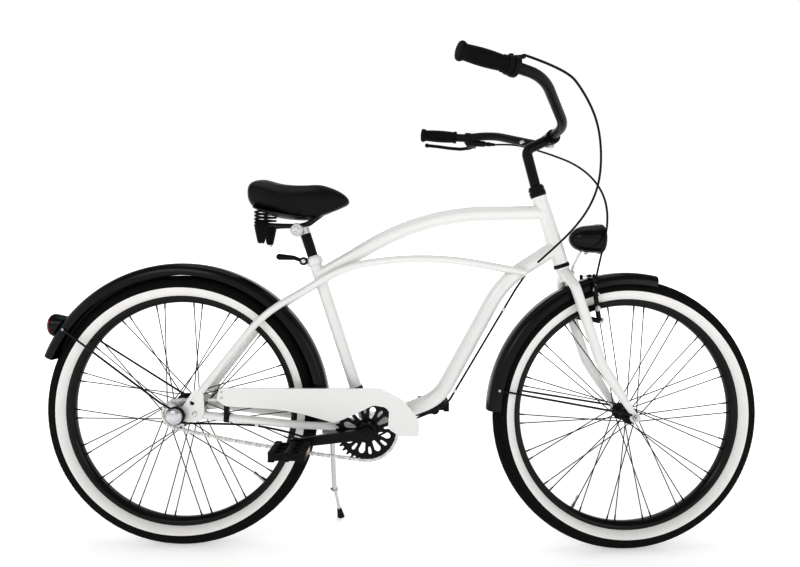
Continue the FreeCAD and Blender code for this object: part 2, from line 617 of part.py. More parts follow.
def wheel(prefix, body, centre, hub):
    shell_r, flange_r, flange_y = hub
    c, r, seat = TYRE_CORE_R, TYRE_SECTION_R, RIM_SEAT_R
    low = math.asin((c - seat) / r)
    white = math.asin((c - WHITE_R) / r) if WHITE_R < c else 0.0
    half = [(c + r * math.sin(a), r * math.cos(a)) for a in (-low, -white, SHOULDER)]
    wall_low, wall_top, shoulder = half
    root = ((wall_low[0] + wall_top[0]) / 2, (wall_low[1] + wall_top[1]) / 2 - WHITE_DEPTH)
    side_section = [wall_low, wall_top, root]
    half = [wall_low, root, wall_top, shoulder]
    section = half + [(TYRE_R, 0.0)] + [(x, -y) for x, y in reversed(half)]
    add(body, prefix + "_tyre", spun(section, centre))
    wall = spun(side_section, centre)
    other = spun([(x, -y) for x, y in side_section], centre)
    add(body, prefix + "_white_walls", Part.makeCompound([wall, other]))
    rim = spun([(RIM_INNER_R, -RIM_INNER_HALF), (seat, -RIM_SEAT_HALF), (seat, RIM_SEAT_HALF),
                (RIM_INNER_R, RIM_INNER_HALF)], centre)
    add(body, prefix + "_rim", rim)
    pieces = [across(centre, -flange_y - 2, flange_y + 2, shell_r)]
    for side in (-1, 1):
        pieces.append(across(centre, side * (flange_y - FLANGE_THICK), side * flange_y, flange_r))
    half_count = SPOKES // 2
    for side in (-1, 1):
        for k in range(half_count):
            lead = 1 if k % 2 else -1
            a0 = 360.0 * (k + (0.25 if side > 0 else 0.0)) / half_count
            y0 = side * (flange_y - FLANGE_THICK / 2 + 1.6 * lead)
            p = polar(centre, flange_r - 3.0, a0, y0)
            q = polar(centre, RIM_INNER_R + 1.0, a0 + lead * 60.0, side * 2.5)
            pieces.append(bar4(p, q, SPOKE_HALF))
    spoked = pieces[0].multiFuse(pieces[1:]).cut(rim)
    add(body, prefix + "_hub_and_spokes", main_solid(spoked.cut(across(centre, -90, 90, AXLE_R + RUN_FIT))))


wheel("rear", "rear_wheel", REAR, HUB_REAR)
wheel("front", "front_wheel", FRONT, HUB_FRONT)
cog = toothed(SPROCKET_TEETH, -CHAIN_LINE - RING_THICK / 2, -CHAIN_LINE + RING_THICK / 2, REAR)
cog_neck = across(REAR, -CHAIN_LINE, -HUB_REAR[2] - 2, 20.0)
cog = fuse([cog, cog_neck]).cut(across(REAR, -90, 90, AXLE_R + RUN_FIT))
add("rear_wheel", "rear_sprocket", cog)

# Crankset
ring = toothed(RING_TEETH, -CHAIN_LINE - RING_THICK / 2, -CHAIN_LINE + RING_THICK / 2, BB)
SLOTS = 8
windows = ((30.0, 28.0, 58.0, 4.2, 8.0), (52.5, 40.0, 59.0, 3.2, 4.2))   # angle, reach in and out, half widths
for k in range(SLOTS):
    for first, r0, r1, w0, w1 in windows:
        a = first + 360.0 * k / SLOTS
        mid = r1 - w1
        pts = []
        for r, w in ((r0, w0 * 0.5), (r0 + w0, w0), (mid, w1), (r1 - 0.3 * w1, w1 * 0.7), (r1, w1 * 0.2),
                     (r1, -w1 * 0.2), (r1 - 0.3 * w1, -w1 * 0.7), (mid, -w1), (r0 + w0, -w0), (r0, -w0 * 0.5)):
            flat = polar(V(0, 0, 0), r, a) + polar(V(0, 0, 0), w, a + 90)
            pts.append(BB + flat + V(0, -CHAIN_LINE - 5, 0))
        ring = ring.cut(Part.Face(Part.makePolygon(pts + [pts[0]])).extrude(V(0, 10, 0)))
ring = ring.cut(across(BB, -60, -30, SPINDLE_R))
crank_dir = polar(V(0, 0, 0), 1.0, CRANK_ANGLE)


def crank_arm(side, d):
    y0, y1 = side * CRANK_IN, side * CRANK_OUT
    n = V(-d.z, 0, d.x)
    e = BB + d * CRANK_LENGTH
    pts = [BB + n * CRANK_ROOT, BB - n * CRANK_ROOT, e - n * CRANK_TIP, e + n * CRANK_TIP]
    arm = plate([(p.x, p.z, 0) for p in pts], y0, y1)
    return [arm, across(BB, y0, y1, 15.5), across(e, y0, y1, 12.5),
            across(e, y0, side * (PEDAL_OUT + 3), PEDAL_AXLE_R)]


spider = across(BB, -CRANK_IN, -CHAIN_LINE - RING_THICK / 2, 24.0)
arms = fuse([across(BB, -CRANK_OUT, CRANK_OUT, SPINDLE_R), spider] + crank_arm(-1, crank_dir) +
            crank_arm(1, crank_dir * -1))
add("crankset", "crank_arms", arms)
add("crankset", "chainring", ring)


def pedal(side, d):
    e = BB + d * CRANK_LENGTH
    mid = e + V(0, side * (PEDAL_IN + PEDAL_WIDTH / 2), 0)
    parts = [across(e, side * PEDAL_IN, side * PEDAL_OUT, PEDAL_AXLE_R + 5.0)]
    inside = PEDAL_LENGTH - PEDAL_RAIL
    for end in (-1, 1):
        parts.append(box(mid + V(end * inside / 2, 0, 0), PEDAL_RAIL, PEDAL_WIDTH, PEDAL_HEIGHT))
        for reach, wall, height in ((0.5, PEDAL_WALL, 0.75), (0.2, PEDAL_WALL * 0.7, 0.55)):
            middle = mid + V(0, end * (PEDAL_WIDTH * reach - wall / 2), 0)
            parts.append(box(middle, inside, wall, PEDAL_HEIGHT * height))
    body = fuse(parts)
    return body.cut(across(e, side * (PEDAL_IN - 5), side * (PEDAL_OUT + 5), PEDAL_AXLE_R + RUN_FIT))


add("pedal_right", "pedal_right", pedal(-1, crank_dir))
add("pedal_left", "pedal_left", pedal(1, crank_dir * -1))

# Side stand: a plate under the chain stays with the pivot pin, the leg, its rod and the rubber foot
STAND_PIVOT = above(STAND_AHEAD, STAND_OUT, -STAND_DROP)
STAND_AXIS = V(0.0, math.cos(STAND_TILT), math.sin(STAND_TILT))
lean = math.radians(LEAN_DEG)
foot_z = (FOOT_R + FOOT_OUT * math.sin(lean) - TYRE_SECTION_R * (1 - math.cos(lean))) / math.cos(lean)
foot_c = V(STAND_AHEAD + FOOT_AHEAD, FOOT_OUT, foot_z)
knee = STAND_PIVOT + V(4.0, 23.0, -STAND_KNEE)
stand_plate = box(above(STAND_AHEAD + 6, 0, -43.5), 44, 66, 9)
stand_plate = main_solid(cut(stand_plate, [stay_solid, mirrored(stay_solid)]))
pin_in = STAND_PIVOT - STAND_AXIS * 27
pin_out = STAND_PIVOT + STAND_AXIS * 12
stand_plate = fuse([stand_plate, cyl(pin_in, pin_out, STAND_PIN_R), cyl(pin_in, pin_in + STAND_AXIS * 14, 11.0),
                    box(STAND_PIVOT + V(0, -20.5, 9), 18, 13, 16)])
add("frame", "kickstand_plate", stand_plate)
down = (foot_c - knee).normalize()
rod_top = knee + down * 22
leg = rod([(STAND_PIVOT + V(0, 3, -4), 0), (knee, 30.0), (rod_top, 0)], STAND_LEG_R)
leg = leg.fuse(cyl(rod_top - down * 2, foot_c, STAND_ROD_R))
leg = leg.fuse(cyl(rod_top - down * 6, rod_top, STAND_LEG_R + 1.6))
knuckle = cyl(STAND_PIVOT - STAND_AXIS * 6, STAND_PIVOT + STAND_AXIS * 8, 10.0)
leg = leg.fuse(knuckle).cut(cyl(pin_in, pin_out + STAND_AXIS * 9, STAND_PIN_R + RUN_FIT))
leg = main_solid(leg)
foot_top = foot_c - down * 30
foot = cone(foot_top, foot_c + down * 14, 5.6, FOOT_R + 2)
ground = Part.makeBox(100, 100, 60, foot_c + V(-50, -50, -60 - foot_c.z))
ground.rotate(V(foot_c.x, 0, 0), V(1, 0, 0), LEAN_DEG)
ground.translate(V(0, 0, -TYRE_SECTION_R * (1 - math.cos(lean)) / math.cos(lean)))
foot = foot.cut(ground)
add("kickstand", "kickstand_leg", main_solid(leg.cut(foot)))
add("kickstand", "kickstand_foot", main_solid(foot))

# Fork
race_s = -CUP_HEIGHT - 0.4
steerer = cyl(on_axis(-44), on_axis(HEAD_TUBE_LEN + CUP_HEIGHT + 14), STEERER_R)
collar = cyl(on_axis(-44), on_axis(race_s - 4), 16.5)
race = cyl(on_axis(race_s - 4), on_axis(race_s), 18.5)
crown = steerer.fuse(race).fuse(collar)
tip_x = FRONT + V(0, -BLADE_OUT - 8.0, 0)
rake_corner = on_axis(-256, -BLADE_OUT - 2)
blade_end = tip_x + V(-2, 1, 6)
toe = (blade_end - rake_corner).normalize()
taper_start = rake_corner + toe * 44
blade_points = [(on_axis(-18, -4), 0), (on_axis(-58, -BLADE_OUT), 26.0), (rake_corner, 130.0), (taper_start, 0)]
blade_top = rod(blade_points, BLADE_R)
blade_toe = cone(taper_start - toe * 3, blade_end, BLADE_R + 0.2, BLADE_TIP_R)
fork_tip = across(tip_x, -FRONT_DROP_THICK / 2, FRONT_DROP_THICK / 2, 12.0)
front_face = BLADE_OUT + 8.0 + FRONT_DROP_THICK / 2
front_nuts = [nut(FRONT, side * front_face, side * (front_face + 8), 15) for side in (-1, 1)]
front_axle = fuse([across(FRONT, -front_face - 12, front_face + 12, AXLE_R)] + front_nuts)
other_side = box(on_axis(-18, 2 * BLADE_R), 6 * BLADE_R, 4 * BLADE_R, 6 * BLADE_R)
inner_space = Part.makeBox(80, 9.2, 80, tip_x + V(-40, -front_face - 9.2 - tip_x.y, -40))
blade = blade_top.fuse(blade_toe).fuse(fork_tip)
blade = main_solid(cut(blade, [crown, other_side, front_axle, inner_space]))
front_fender = fender(FRONT_FENDER_R, FRONT_FENDER_FROM, FRONT_FENDER_SWEEP, FRONT)
crown = main_solid(crown.fuse(cyl(on_axis(-40), on_axis(-62), 5.0)).cut(front_fender))
add("steering", "fork_crown", crown)
add("steering", "fork_blades", pair(blade))
add("steering", "front_axle", front_axle)

# Stem with the lock nut, and handlebar
quill_low = on_axis(HEAD_TUBE_LEN + CUP_HEIGHT + 14)
bar_c = on_axis(HEAD_TUBE_LEN + BAR_RISE, 0, BAR_AHEAD)
quill_turn = on_axis(HEAD_TUBE_LEN + BAR_RISE - 9.0, 0, 6.0)
lock_nut = cyl(on_axis(HEAD_TUBE_LEN + CUP_HEIGHT + 0.4), on_axis(HEAD_TUBE_LEN + CUP_HEIGHT + 17), 17.0)
bar_points = [(bar_c + V(x, y, z), r) for x, y, z, r in BAR_SWEEP]
bar_half = rod(bar_points, BAR_R)
bar = fuse([bar_half, mirrored(bar_half)])
stem = rod([(quill_low - UP_AXIS * 2, 0), (quill_turn, 18.0), (bar_c, 0)], QUILL_R)
stem = fuse([stem, across(bar_c, -21, 21, BAR_R + 6.5), lock_nut])
add("steering", "stem", main_solid(cut(stem, [bar, crown])))
add("steering", "handlebar", bar)
grip_dir = (bar_points[4][0] - bar_points[3][0]).normalize()
bar_end = bar_points[4][0]


def on_grip(s):
    """a point of the right grip's line, from its end inwards."""
    return bar_end - grip_dir * s


grip = cyl(on_grip(-6), on_grip(GRIP_LEN), GRIP_R).fuse(cyl(on_grip(-6), on_grip(2), GRIP_R + 3)).cut(bar)
grip = main_solid(grip)
add("steering", "grips", pair(grip))
shifter = cyl(on_grip(GRIP_LEN + 0.4), on_grip(GRIP_LEN + SHIFTER_LEN), SHIFTER_R)
outlet = on_grip(GRIP_LEN + 14)
outlet_tip = outlet + V(26, 4, 24)
shifter = shifter.fuse(cone(outlet + V(0, 0, 14), outlet_tip, 8.0, 4.5)).cut(bar)
add("steering", "twist_shifter", main_solid(shifter))
grip_in = V(-grip_dir.x, grip_dir.y, -grip_dir.z)
lever_c = V(bar_end.x, -bar_end.y, bar_end.z) + grip_in * (GRIP_LEN + 34)
barrel = lever_c + V(0, 4, -12)
barrel_end = barrel + grip_in * 80
lever_band = cyl(lever_c - grip_in * 7, lever_c + grip_in * 7, BAR_R + 4.5)
lever_body = cyl(barrel - grip_in * 4, barrel + grip_in * 52, 8.5)
lever_body = lever_body.fuse(cyl(barrel + grip_in * 50, barrel_end, 4.8))
blade_line = [(lever_c + V(26, 10, -17), 0), (lever_c + V(-14, 42, -22), 18.0), (lever_c + V(-112, 66, -8), 0)]
lever_blade = rod(blade_line, 4.6)
lever = fuse([lever_band, lever_body, lever_blade]).cut(bar)
add("steering", "brake_lever", main_solid(lever))

# Front fender and stays
add("steering", "front_fender", front_fender)
stay_root = FRONT + V(-10, -front_face, 8)
stay_mid = FRONT + V(-46, -front_face + 4, 15)
stay_y = -FENDER_HALF - FENDER_STAY_R + 1
stay_tip = polar(FRONT, FRONT_FENDER_R - FENDER_DEPTH + STAY_LAP, FRONT_STAY_DEG, stay_y)
front_stay = rod([(stay_root + V(0, -2.2, 0), 0), (stay_mid, 16.0), (stay_tip, 0)], FENDER_STAY_R)
front_stay = main_solid(cut(front_stay, [front_fender, blade, front_axle]))
add("steering", "front_fender_stays", pair(front_stay))

# Headlamp on a bent strip from the crown
lamp_front = on_axis(26.1, 0, 114.7)
nose = lamp_front - V(LAMP_LEN, 0, 0)
PROFILE = ((0.0, 0.0), (0.04, 0.26), (0.14, 0.52), (0.30, 0.76), (0.50, 0.93), (0.72, 1.0), (1.0, 1.0))
lamp_pts = [nose + V(LAMP_LEN * f, 0, LAMP_R * g) for f, g in PROFILE] + [lamp_front]
lamp_face = Part.Face(Part.makePolygon(lamp_pts + [lamp_pts[0]]))
headlamp = lamp_face.revolve(nose, V(1, 0, 0), 360)
add("steering", "headlamp", headlamp)
add("steering", "headlamp_lens", cyl(lamp_front, lamp_front + V(6, 0, 0), LAMP_R - 1.5))
strip_low = on_axis(-31, 0, 16.0)
strip_mid = strip_low + V(5, 0, 20)
strip_top = lamp_front - V(46, 0, LAMP_R - 12)
way = [strip_low, strip_mid, strip_top]
STRIP = 2.2
strip_pts = [(p.x, p.z, 0) for p in way] + [(p.x + STRIP, p.z, 0) for p in reversed(way)]
strip = plate(strip_pts, -8, 8).cut(headlamp).cut(crown)
strip = strip.fuse(box(strip_low + V(-4, 0, 0), 14, 10, 8)).cut(crown)
add("steering", "lamp_bracket", main_solid(strip))

# Front rim brake
PAD_R = RIM_SEAT_R - 8.0
PAD_DEG = 108.8
pad_c = polar(FRONT, PAD_R, PAD_DEG)
pad_in = RIM_SEAT_HALF + 2.6
pad = Part.makeBox(52, 9, 9, V(-26, -pad_in - 9, -4.5))
pad.rotate(V(0, 0, 0), V(0, -1, 0), PAD_DEG - 90)
pad.translate(pad_c)
arm_y = -TYRE_SECTION_R - 13.5
stud = across(pad_c, arm_y, -pad_in - 4, 3.5)
arm_low = polar(FRONT, PAD_R - 30, 109.9, arm_y)
arm_top = polar(FRONT, PAD_R + 37, 107.5, arm_y)
arm = fuse([cyl(arm_low, arm_top, 5.5), stud, pad])
boss = cyl(arm_low, on_axis(-138, arm_y, 0), 6.0)
arm = arm.fuse(boss).cut(blade)
add("steering", "front_brake", pair(main_solid(arm)))


# Cables: the shift cable along the frame, its free loop to the handlebar, and the brake cable

def cable(points):
    """each bend is as large as its two runs allow."""
    route = [(points[0], 0)]
    for i in range(1, len(points) - 1):
        p = points[i]
        run_in, run_out = (p - points[i - 1]), (points[i + 1] - p)
        turn = run_in.getAngle(run_out)
        route.append((p, 0.45 * min(run_in.Length, run_out.Length) / math.tan(turn / 2)))
    return rod(route + [(points[-1], 0)], CABLE_R)


down_dir = (down_lower - down_upper).normalize()
side_dir = V(-down_dir.z, 0, down_dir.x)
side_dir = side_dir if side_dir.x > 0 else side_dir * -1
cable_off = side_dir * (DOWN_TUBE_R + CABLE_R) + V(0, -4, 0)
cable_top = down_upper + cable_off + V(34, 0, 24)
shift_cable = rod([(cable_top, 0), (down_upper + cable_off + V(11, 0, -10), 150.0),
                   (down_lower + cable_off + V(-2, 0, -10), 80.0), (BB + V(62, -4, -4), 0)], CABLE_R)
add("frame", "shift_cable", main_solid(cut(shift_cable, [down_solid, bb_solid])))
loop = cable([outlet_tip] + [HEAD_LOW + V(*p) for p in LOOP_ROUTE])
add("steering", "shift_cable_loop", main_solid(loop.cut(nodes["twist_shifter"])))
hanger = arm_top + V(-3, 0, 6)
brake_cable = cable([barrel_end] + [HEAD_LOW + V(*p) for p in BRAKE_ROUTE] + [hanger + V(6, -4, 46), hanger])
add("steering", "brake_cable", main_solid(cut(brake_cable, [nodes["front_brake"], nodes["brake_lever"]])))

# Stance: the steered pieces turn about the steering axis, then all of it leans and goes onto the origin
TURNED = ("steering", "front_wheel")
placed = {}
for name, shape in nodes.items():
    s = shape.copy()
    if bodies[name] in TURNED:
        s.rotate(HEAD_LOW, UP_AXIS, STEER_REST_DEG)
    s.rotate(V(0, 0, 0), V(1, 0, 0), -LEAN_DEG)
    s.translate(V(0, 0, TYRE_SECTION_R * (1 - math.cos(lean))))
    placed[name] = s

bounds = FreeCAD.BoundBox()
for s in placed.values():
    bounds.add(s.optimalBoundingBox(False))
SHIFT = V(-(bounds.XMin + bounds.XMax) / 2, -(bounds.YMin + bounds.YMax) / 2, -bounds.ZMin)
for name, s in placed.items():
    s.translate(SHIFT)
    s.exportStep("parts/" + name + ".step")
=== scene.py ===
import json
import math

import bmesh
import bpy
from mathutils import Matrix, Vector


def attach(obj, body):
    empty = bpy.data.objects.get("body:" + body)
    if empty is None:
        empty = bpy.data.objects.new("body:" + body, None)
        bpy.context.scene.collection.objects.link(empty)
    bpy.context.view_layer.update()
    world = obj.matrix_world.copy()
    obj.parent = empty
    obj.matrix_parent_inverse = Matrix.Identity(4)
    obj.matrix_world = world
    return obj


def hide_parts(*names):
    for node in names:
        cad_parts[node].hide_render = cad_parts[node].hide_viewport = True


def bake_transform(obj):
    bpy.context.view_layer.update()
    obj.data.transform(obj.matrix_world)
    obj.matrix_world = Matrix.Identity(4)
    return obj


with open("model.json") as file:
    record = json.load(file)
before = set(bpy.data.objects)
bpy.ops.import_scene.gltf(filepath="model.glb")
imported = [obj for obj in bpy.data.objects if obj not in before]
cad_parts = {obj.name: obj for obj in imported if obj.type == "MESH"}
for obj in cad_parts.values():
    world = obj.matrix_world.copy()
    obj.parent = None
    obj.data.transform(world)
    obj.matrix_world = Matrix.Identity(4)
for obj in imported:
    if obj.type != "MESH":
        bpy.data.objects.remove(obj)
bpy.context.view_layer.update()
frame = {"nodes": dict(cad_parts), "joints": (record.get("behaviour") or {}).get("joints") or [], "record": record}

# Lengths are in mm, each piece drawn about a wheel, tube or axis of the bicycle, and turned into metres at the end
MM = Matrix.Scale(0.001, 4)
HEAD_ANGLE = math.radians(71.0)
TYRE_R = 333.0
TYRE_CORE_R = 306.0
TYRE_SECTION_R = 27.0
RIM_SEAT_R = 284.0
RIM_INNER_R = 267.0
WHITE_R = 306.5
WHEELBASE = 1096.0
FLANGE = {"rear": (26.0, 36.0, 29.0), "front": (12.5, 21.0, 27.0)}    # shell radius, flange radius, flange place
SPOKES = 36
SPOKE_R = 1.2
SPOKE_LEAD = 60.0           # degrees from a spoke's place in the hub to its place in the rim
REAR_FENDER_R = 364.0
FRONT_FENDER_R = 350.0
FENDER_HALF = 33.0
FENDER_DEPTH = 28.0
BB = Vector((458.0, 0.0, -35.0))
CHAIN_LINE = 45.0
PITCH = 12.7
RING_R = PITCH / (2 * math.sin(math.pi / 36))
SPROCKET_R = PITCH / (2 * math.sin(math.pi / 17))
SAG = Vector((215.0, 0.0, -84.0))
PLATE_END_R = 4.1
TREAD_STEPS = 180

CABLE_R = 2.4

joints = {j["name"]: j for j in frame["joints"]}


def joint_point(name):
    return Vector(joints[name]["pos_m"])


def joint_axis(name):
    return Vector(joints[name]["axis"]).normalized()


def axes_at(x_axis, y_axis, z_axis, origin):
    place = Matrix((x_axis, y_axis, z_axis)).transposed().to_4x4()
    place.translation = origin
    return place @ MM


# The bicycle's own axes: x forward, y left, z up, from the rear axle, and the fork's from the front axle
rear_left = joint_axis("rear_wheel_spin")
BIKE = axes_at(Vector((1, 0, 0)), rear_left, Vector((1, 0, 0)).cross(rear_left), joint_point("rear_wheel_spin"))
fork_left = joint_axis("front_wheel_spin")
fork_up = joint_axis("steering_turn")
fork_ahead = fork_left.cross(fork_up)
FORK = axes_at(fork_ahead * math.sin(HEAD_ANGLE) - fork_up * math.cos(HEAD_ANGLE), fork_left,
               fork_ahead * math.cos(HEAD_ANGLE) + fork_up * math.sin(HEAD_ANGLE), joint_point("front_wheel_spin"))


SEAT_DIR = Vector((-math.cos(math.radians(71.5)), 0, math.sin(math.radians(71.5))))
SEAT_TUBE_LEN = 441.0
SADDLE = BB + SEAT_DIR * (SEAT_TUBE_LEN + 74.0) + Vector((-13, 0, -6))
UP_AXIS = Vector((-math.cos(HEAD_ANGLE), 0, math.sin(HEAD_ANGLE)))
FORWARD = Vector((math.sin(HEAD_ANGLE), 0, math.cos(HEAD_ANGLE)))
HEAD_LOW = Vector((WHEELBASE - 35.6 / math.sin(HEAD_ANGLE) - 370.0 / math.tan(HEAD_ANGLE), 0, 370.0))
HEAD_TUBE_LEN = 174.5
STEERED = FORK @ Matrix.Translation((-WHEELBASE, 0, 0))    # the same coordinates, for what turns with the fork


def on_seat(s, y=0.0):
    return BB + SEAT_DIR * s + Vector((0, y, 0))


def on_axis(s, y=0.0, ahead=0.0):
    return HEAD_LOW + UP_AXIS * s + FORWARD * ahead + Vector((0, y, 0))


# Making and finishing

def finish_piece(name, bm, place, body, finish, replaces=(), smooth=True, crease=0.6):
    bmesh.ops.remove_doubles(bm, verts=bm.verts, dist=0.002)
    bmesh.ops.recalc_face_normals(bm, faces=bm.faces)
    bm.transform(place)
    mesh = bpy.data.meshes.new(name)
    bm.to_mesh(mesh)
    bm.free()
    return finish_mesh(name, mesh, body, finish, replaces, smooth, crease)


def finish_mesh(name, mesh, body, finish, replaces=(), smooth=True, crease=0.6):
    piece = bpy.data.objects.new(name, mesh)
    bpy.context.scene.collection.objects.link(piece)
    if smooth:
        mesh.shade_smooth()
        mesh.set_sharp_from_angle(angle=crease)
    mesh.materials.clear()
    mesh.materials.append(FINISH[finish])
    if body:
        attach(piece, body)
    if replaces:
        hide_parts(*replaces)
    return piece


def outline(bm, points, closed=True):
    verts = [bm.verts.new(p) for p in points]
    pairs = zip(verts, verts[1:] + (verts[:1] if closed else []))
    return [bm.edges.new(pair) for pair in pairs]


def lathe(bm, profile, steps=64, angle=2 * math.pi, start=0.0):
    """profile: distance from the wheel's axis and place along it, turned from ahead to above."""
    edges = outline(bm, [Vector((r * math.cos(start), y, r * math.sin(start))) for r, y in profile])
    verts = list({v for e in edges for v in e.verts})
    bmesh.ops.spin(bm, geom=verts + edges, cent=(0, 0, 0), axis=(0, -1, 0), angle=angle, steps=steps,
                   use_merge=abs(angle - 2 * math.pi) < 1e-6)


def turned(bm, profile, at, towards, steps=32, closed=False):
    """profile: radius and distance along the line; an open one starts and ends on the line."""
    line = Vector(towards).normalized()
    side = line.orthogonal().normalized()
    edges = outline(bm, [Vector(at) + line * s + side * r for r, s in profile], closed)
    verts = list({v for e in edges for v in e.verts})
    bmesh.ops.spin(bm, geom=verts + edges, cent=at, axis=line, angle=2 * math.pi, steps=steps, use_merge=True)


def coil(bm, at, radius, wire, height, turns):
    at = Vector(at)
    ring = [at + Vector((radius + wire * math.cos(k * math.pi / 4), 0, wire * math.sin(k * math.pi / 4)))
            for k in range(8)]
    edges = outline(bm, ring)
    verts = list({v for e in edges for v in e.verts})
    steps = round(22 * turns)
    bmesh.ops.spin(bm, geom=verts + edges, cent=at, axis=(0, 0, 1), dvec=(0, 0, height / steps),
                   angle=2 * math.pi * turns, steps=steps)
    bmesh.ops.holes_fill(bm, edges=[e for e in bm.edges if len(e.link_faces) == 1])


def screw(bm, at, towards, r=4.0, height=3.0):
    """a round head with its hexagon socket."""
    turned(bm, [(0, 0), (r, 0), (r, height * 0.7), (r * 0.85, height), (r * 0.5, height), (r * 0.45, height * 0.4),
                (0, height * 0.4)], at, towards, steps=12)


def bolt(bm, at, towards, flats=10.0, height=5.0):
    """a hexagon head on its washer."""
    line = Vector(towards).normalized()
    turned(bm, [(0, 0), (flats * 0.75, 0), (flats * 0.75, 1.0), (0, 1.0)], at, line, steps=20)
    turned(bm, [(0, 0.9), (flats / 1.732, 0.9), (flats / 1.732, height * 0.85), (flats * 0.5, height), (0, height)],
           at, line, steps=6)


def bar(bm, a, b, r0, r1=None, sides=16):
    a, b = Vector(a), Vector(b)
    turn = (b - a).to_track_quat("Z", "Y").to_matrix().to_4x4()
    bmesh.ops.create_cone(bm, cap_ends=True, segments=sides, radius1=r0, radius2=r0 if r1 is None else r1,
                          depth=(b - a).length, matrix=Matrix.Translation((a + b) / 2) @ turn)


def block(bm, centre, size, turn=None):
    place = Matrix.Translation(Vector(centre)) @ (turn or Matrix.Identity(4)) @ Matrix.Diagonal((*size, 1.0))
    bmesh.ops.create_cube(bm, size=1.0, matrix=place)


def soften(bm, width, segments=2, angle=0.5):
    sharp = [e for e in bm.edges if len(e.link_faces) == 2 and e.calc_face_angle(0.0) > angle]
    bmesh.ops.bevel(bm, geom=sharp, offset=width, segments=segments, affect="EDGES", profile=0.5, material=-1)


def tubes(name, routes, radius, place):
    """smooth lines through their control points, as round tubes in one mesh."""
    curve = bpy.data.curves.new(name, "CURVE")
    curve.dimensions = "3D"
    for points in routes:
        spline = curve.splines.new("NURBS")
        spline.points.add(len(points) - 1)
        for control, point in zip(spline.points, points):
            control.co = (*(place @ Vector(point)), 1.0)
        spline.order_u = 3
        spline.use_endpoint_u = True
        spline.resolution_u = 10
    curve.bevel_resolution = 4
    curve.use_fill_caps = True
    holder = bpy.data.objects.new(name, curve)
    bpy.context.scene.collection.objects.link(holder)
    made = []
    for depth in (0.0, radius * 0.001):
        curve.bevel_depth = depth
        bpy.context.view_layer.update()
        graph = bpy.context.evaluated_depsgraph_get()
        made.append(bpy.data.meshes.new_from_object(holder.evaluated_get(graph)))
    bpy.data.objects.remove(holder)
    line, mesh = made
    mesh.name = name
    return mesh, [v.co.copy() for v in line.vertices]


def cable(name, points, place, body, replaces=(), ends=()):
    """a cord as a round tube through its points, both of whose ends go into the object; ends (where the frame lets go
    of it and the body holds it) are only read for whether any are given: then the cord goes on no body and its place
    is baked into the mesh.
    """
    mesh, line = tubes(name, [points], CABLE_R, place)
    piece = finish_mesh(name, mesh, None if ends else body, "cable_black")
    if ends:
        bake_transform(piece)
    if replaces:
        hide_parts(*replaces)
    return piece


def polar(r, deg, y=0.0):
    return Vector((r * math.cos(math.radians(deg)), y, r * math.sin(math.radians(deg))))


# Finishes

def surface(name, colour, rough, metal=0.0, coat=0.0, mottle=0.06, scale=60.0, bump=0.0, bump_scale=400.0,
            coat_rough=0.08, rough_spread=0.08, shine=0.5):
    """one painted, rubber or metal finish: colour and gloss wander a little, with a fine grain where bump is set."""
    material = bpy.data.materials.new(name)
    material.use_nodes = True
    nodes, links = material.node_tree.nodes, material.node_tree.links
    shader = nodes["Principled BSDF"]
    where = nodes.new("ShaderNodeTexCoord")
    cloud = nodes.new("ShaderNodeTexNoise")
    cloud.inputs["Scale"].default_value = scale
    cloud.inputs["Detail"].default_value = 4.0
    links.new(where.outputs["Object"], cloud.inputs["Vector"])
    tint = nodes.new("ShaderNodeValToRGB")
    tint.color_ramp.elements[0].position = 0.3
    tint.color_ramp.elements[1].position = 0.7
    tint.color_ramp.elements[0].color = (*[c * (1 - mottle) for c in colour], 1)
    tint.color_ramp.elements[1].color = (*[min(1.0, c * (1 + mottle)) for c in colour], 1)
    links.new(cloud.outputs["Fac"], tint.inputs["Fac"])
    links.new(tint.outputs["Color"], shader.inputs["Base Color"])
    gloss = nodes.new("ShaderNodeMapRange")
    gloss.inputs["To Min"].default_value = max(0.02, rough - rough_spread / 2)
    gloss.inputs["To Max"].default_value = rough + rough_spread / 2
    links.new(cloud.outputs["Fac"], gloss.inputs["Value"])
    links.new(gloss.outputs["Result"], shader.inputs["Roughness"])
    shader.inputs["Metallic"].default_value = metal
    shader.inputs["Specular IOR Level"].default_value = shine
    shader.inputs["Coat Weight"].default_value = coat
    shader.inputs["Coat Roughness"].default_value = coat_rough
    if bump:
        grain = nodes.new("ShaderNodeTexNoise")
        grain.inputs["Scale"].default_value = bump_scale
        grain.inputs["Detail"].default_value = 3.0
        links.new(where.outputs["Object"], grain.inputs["Vector"])
        relief = nodes.new("ShaderNodeBump")
        relief.inputs["Strength"].default_value = bump
        relief.inputs["Distance"].default_value = 0.0006
        links.new(grain.outputs["Fac"], relief.inputs["Height"])
        links.new(relief.outputs["Normal"], shader.inputs["Normal"])
    return material


def clear_glass():
    material = surface("clear_lens", (0.9, 0.93, 0.95), 0.05, mottle=0.02, scale=20)
    material.node_tree.nodes["Principled BSDF"].inputs["Transmission Weight"].default_value = 0.85
    return material


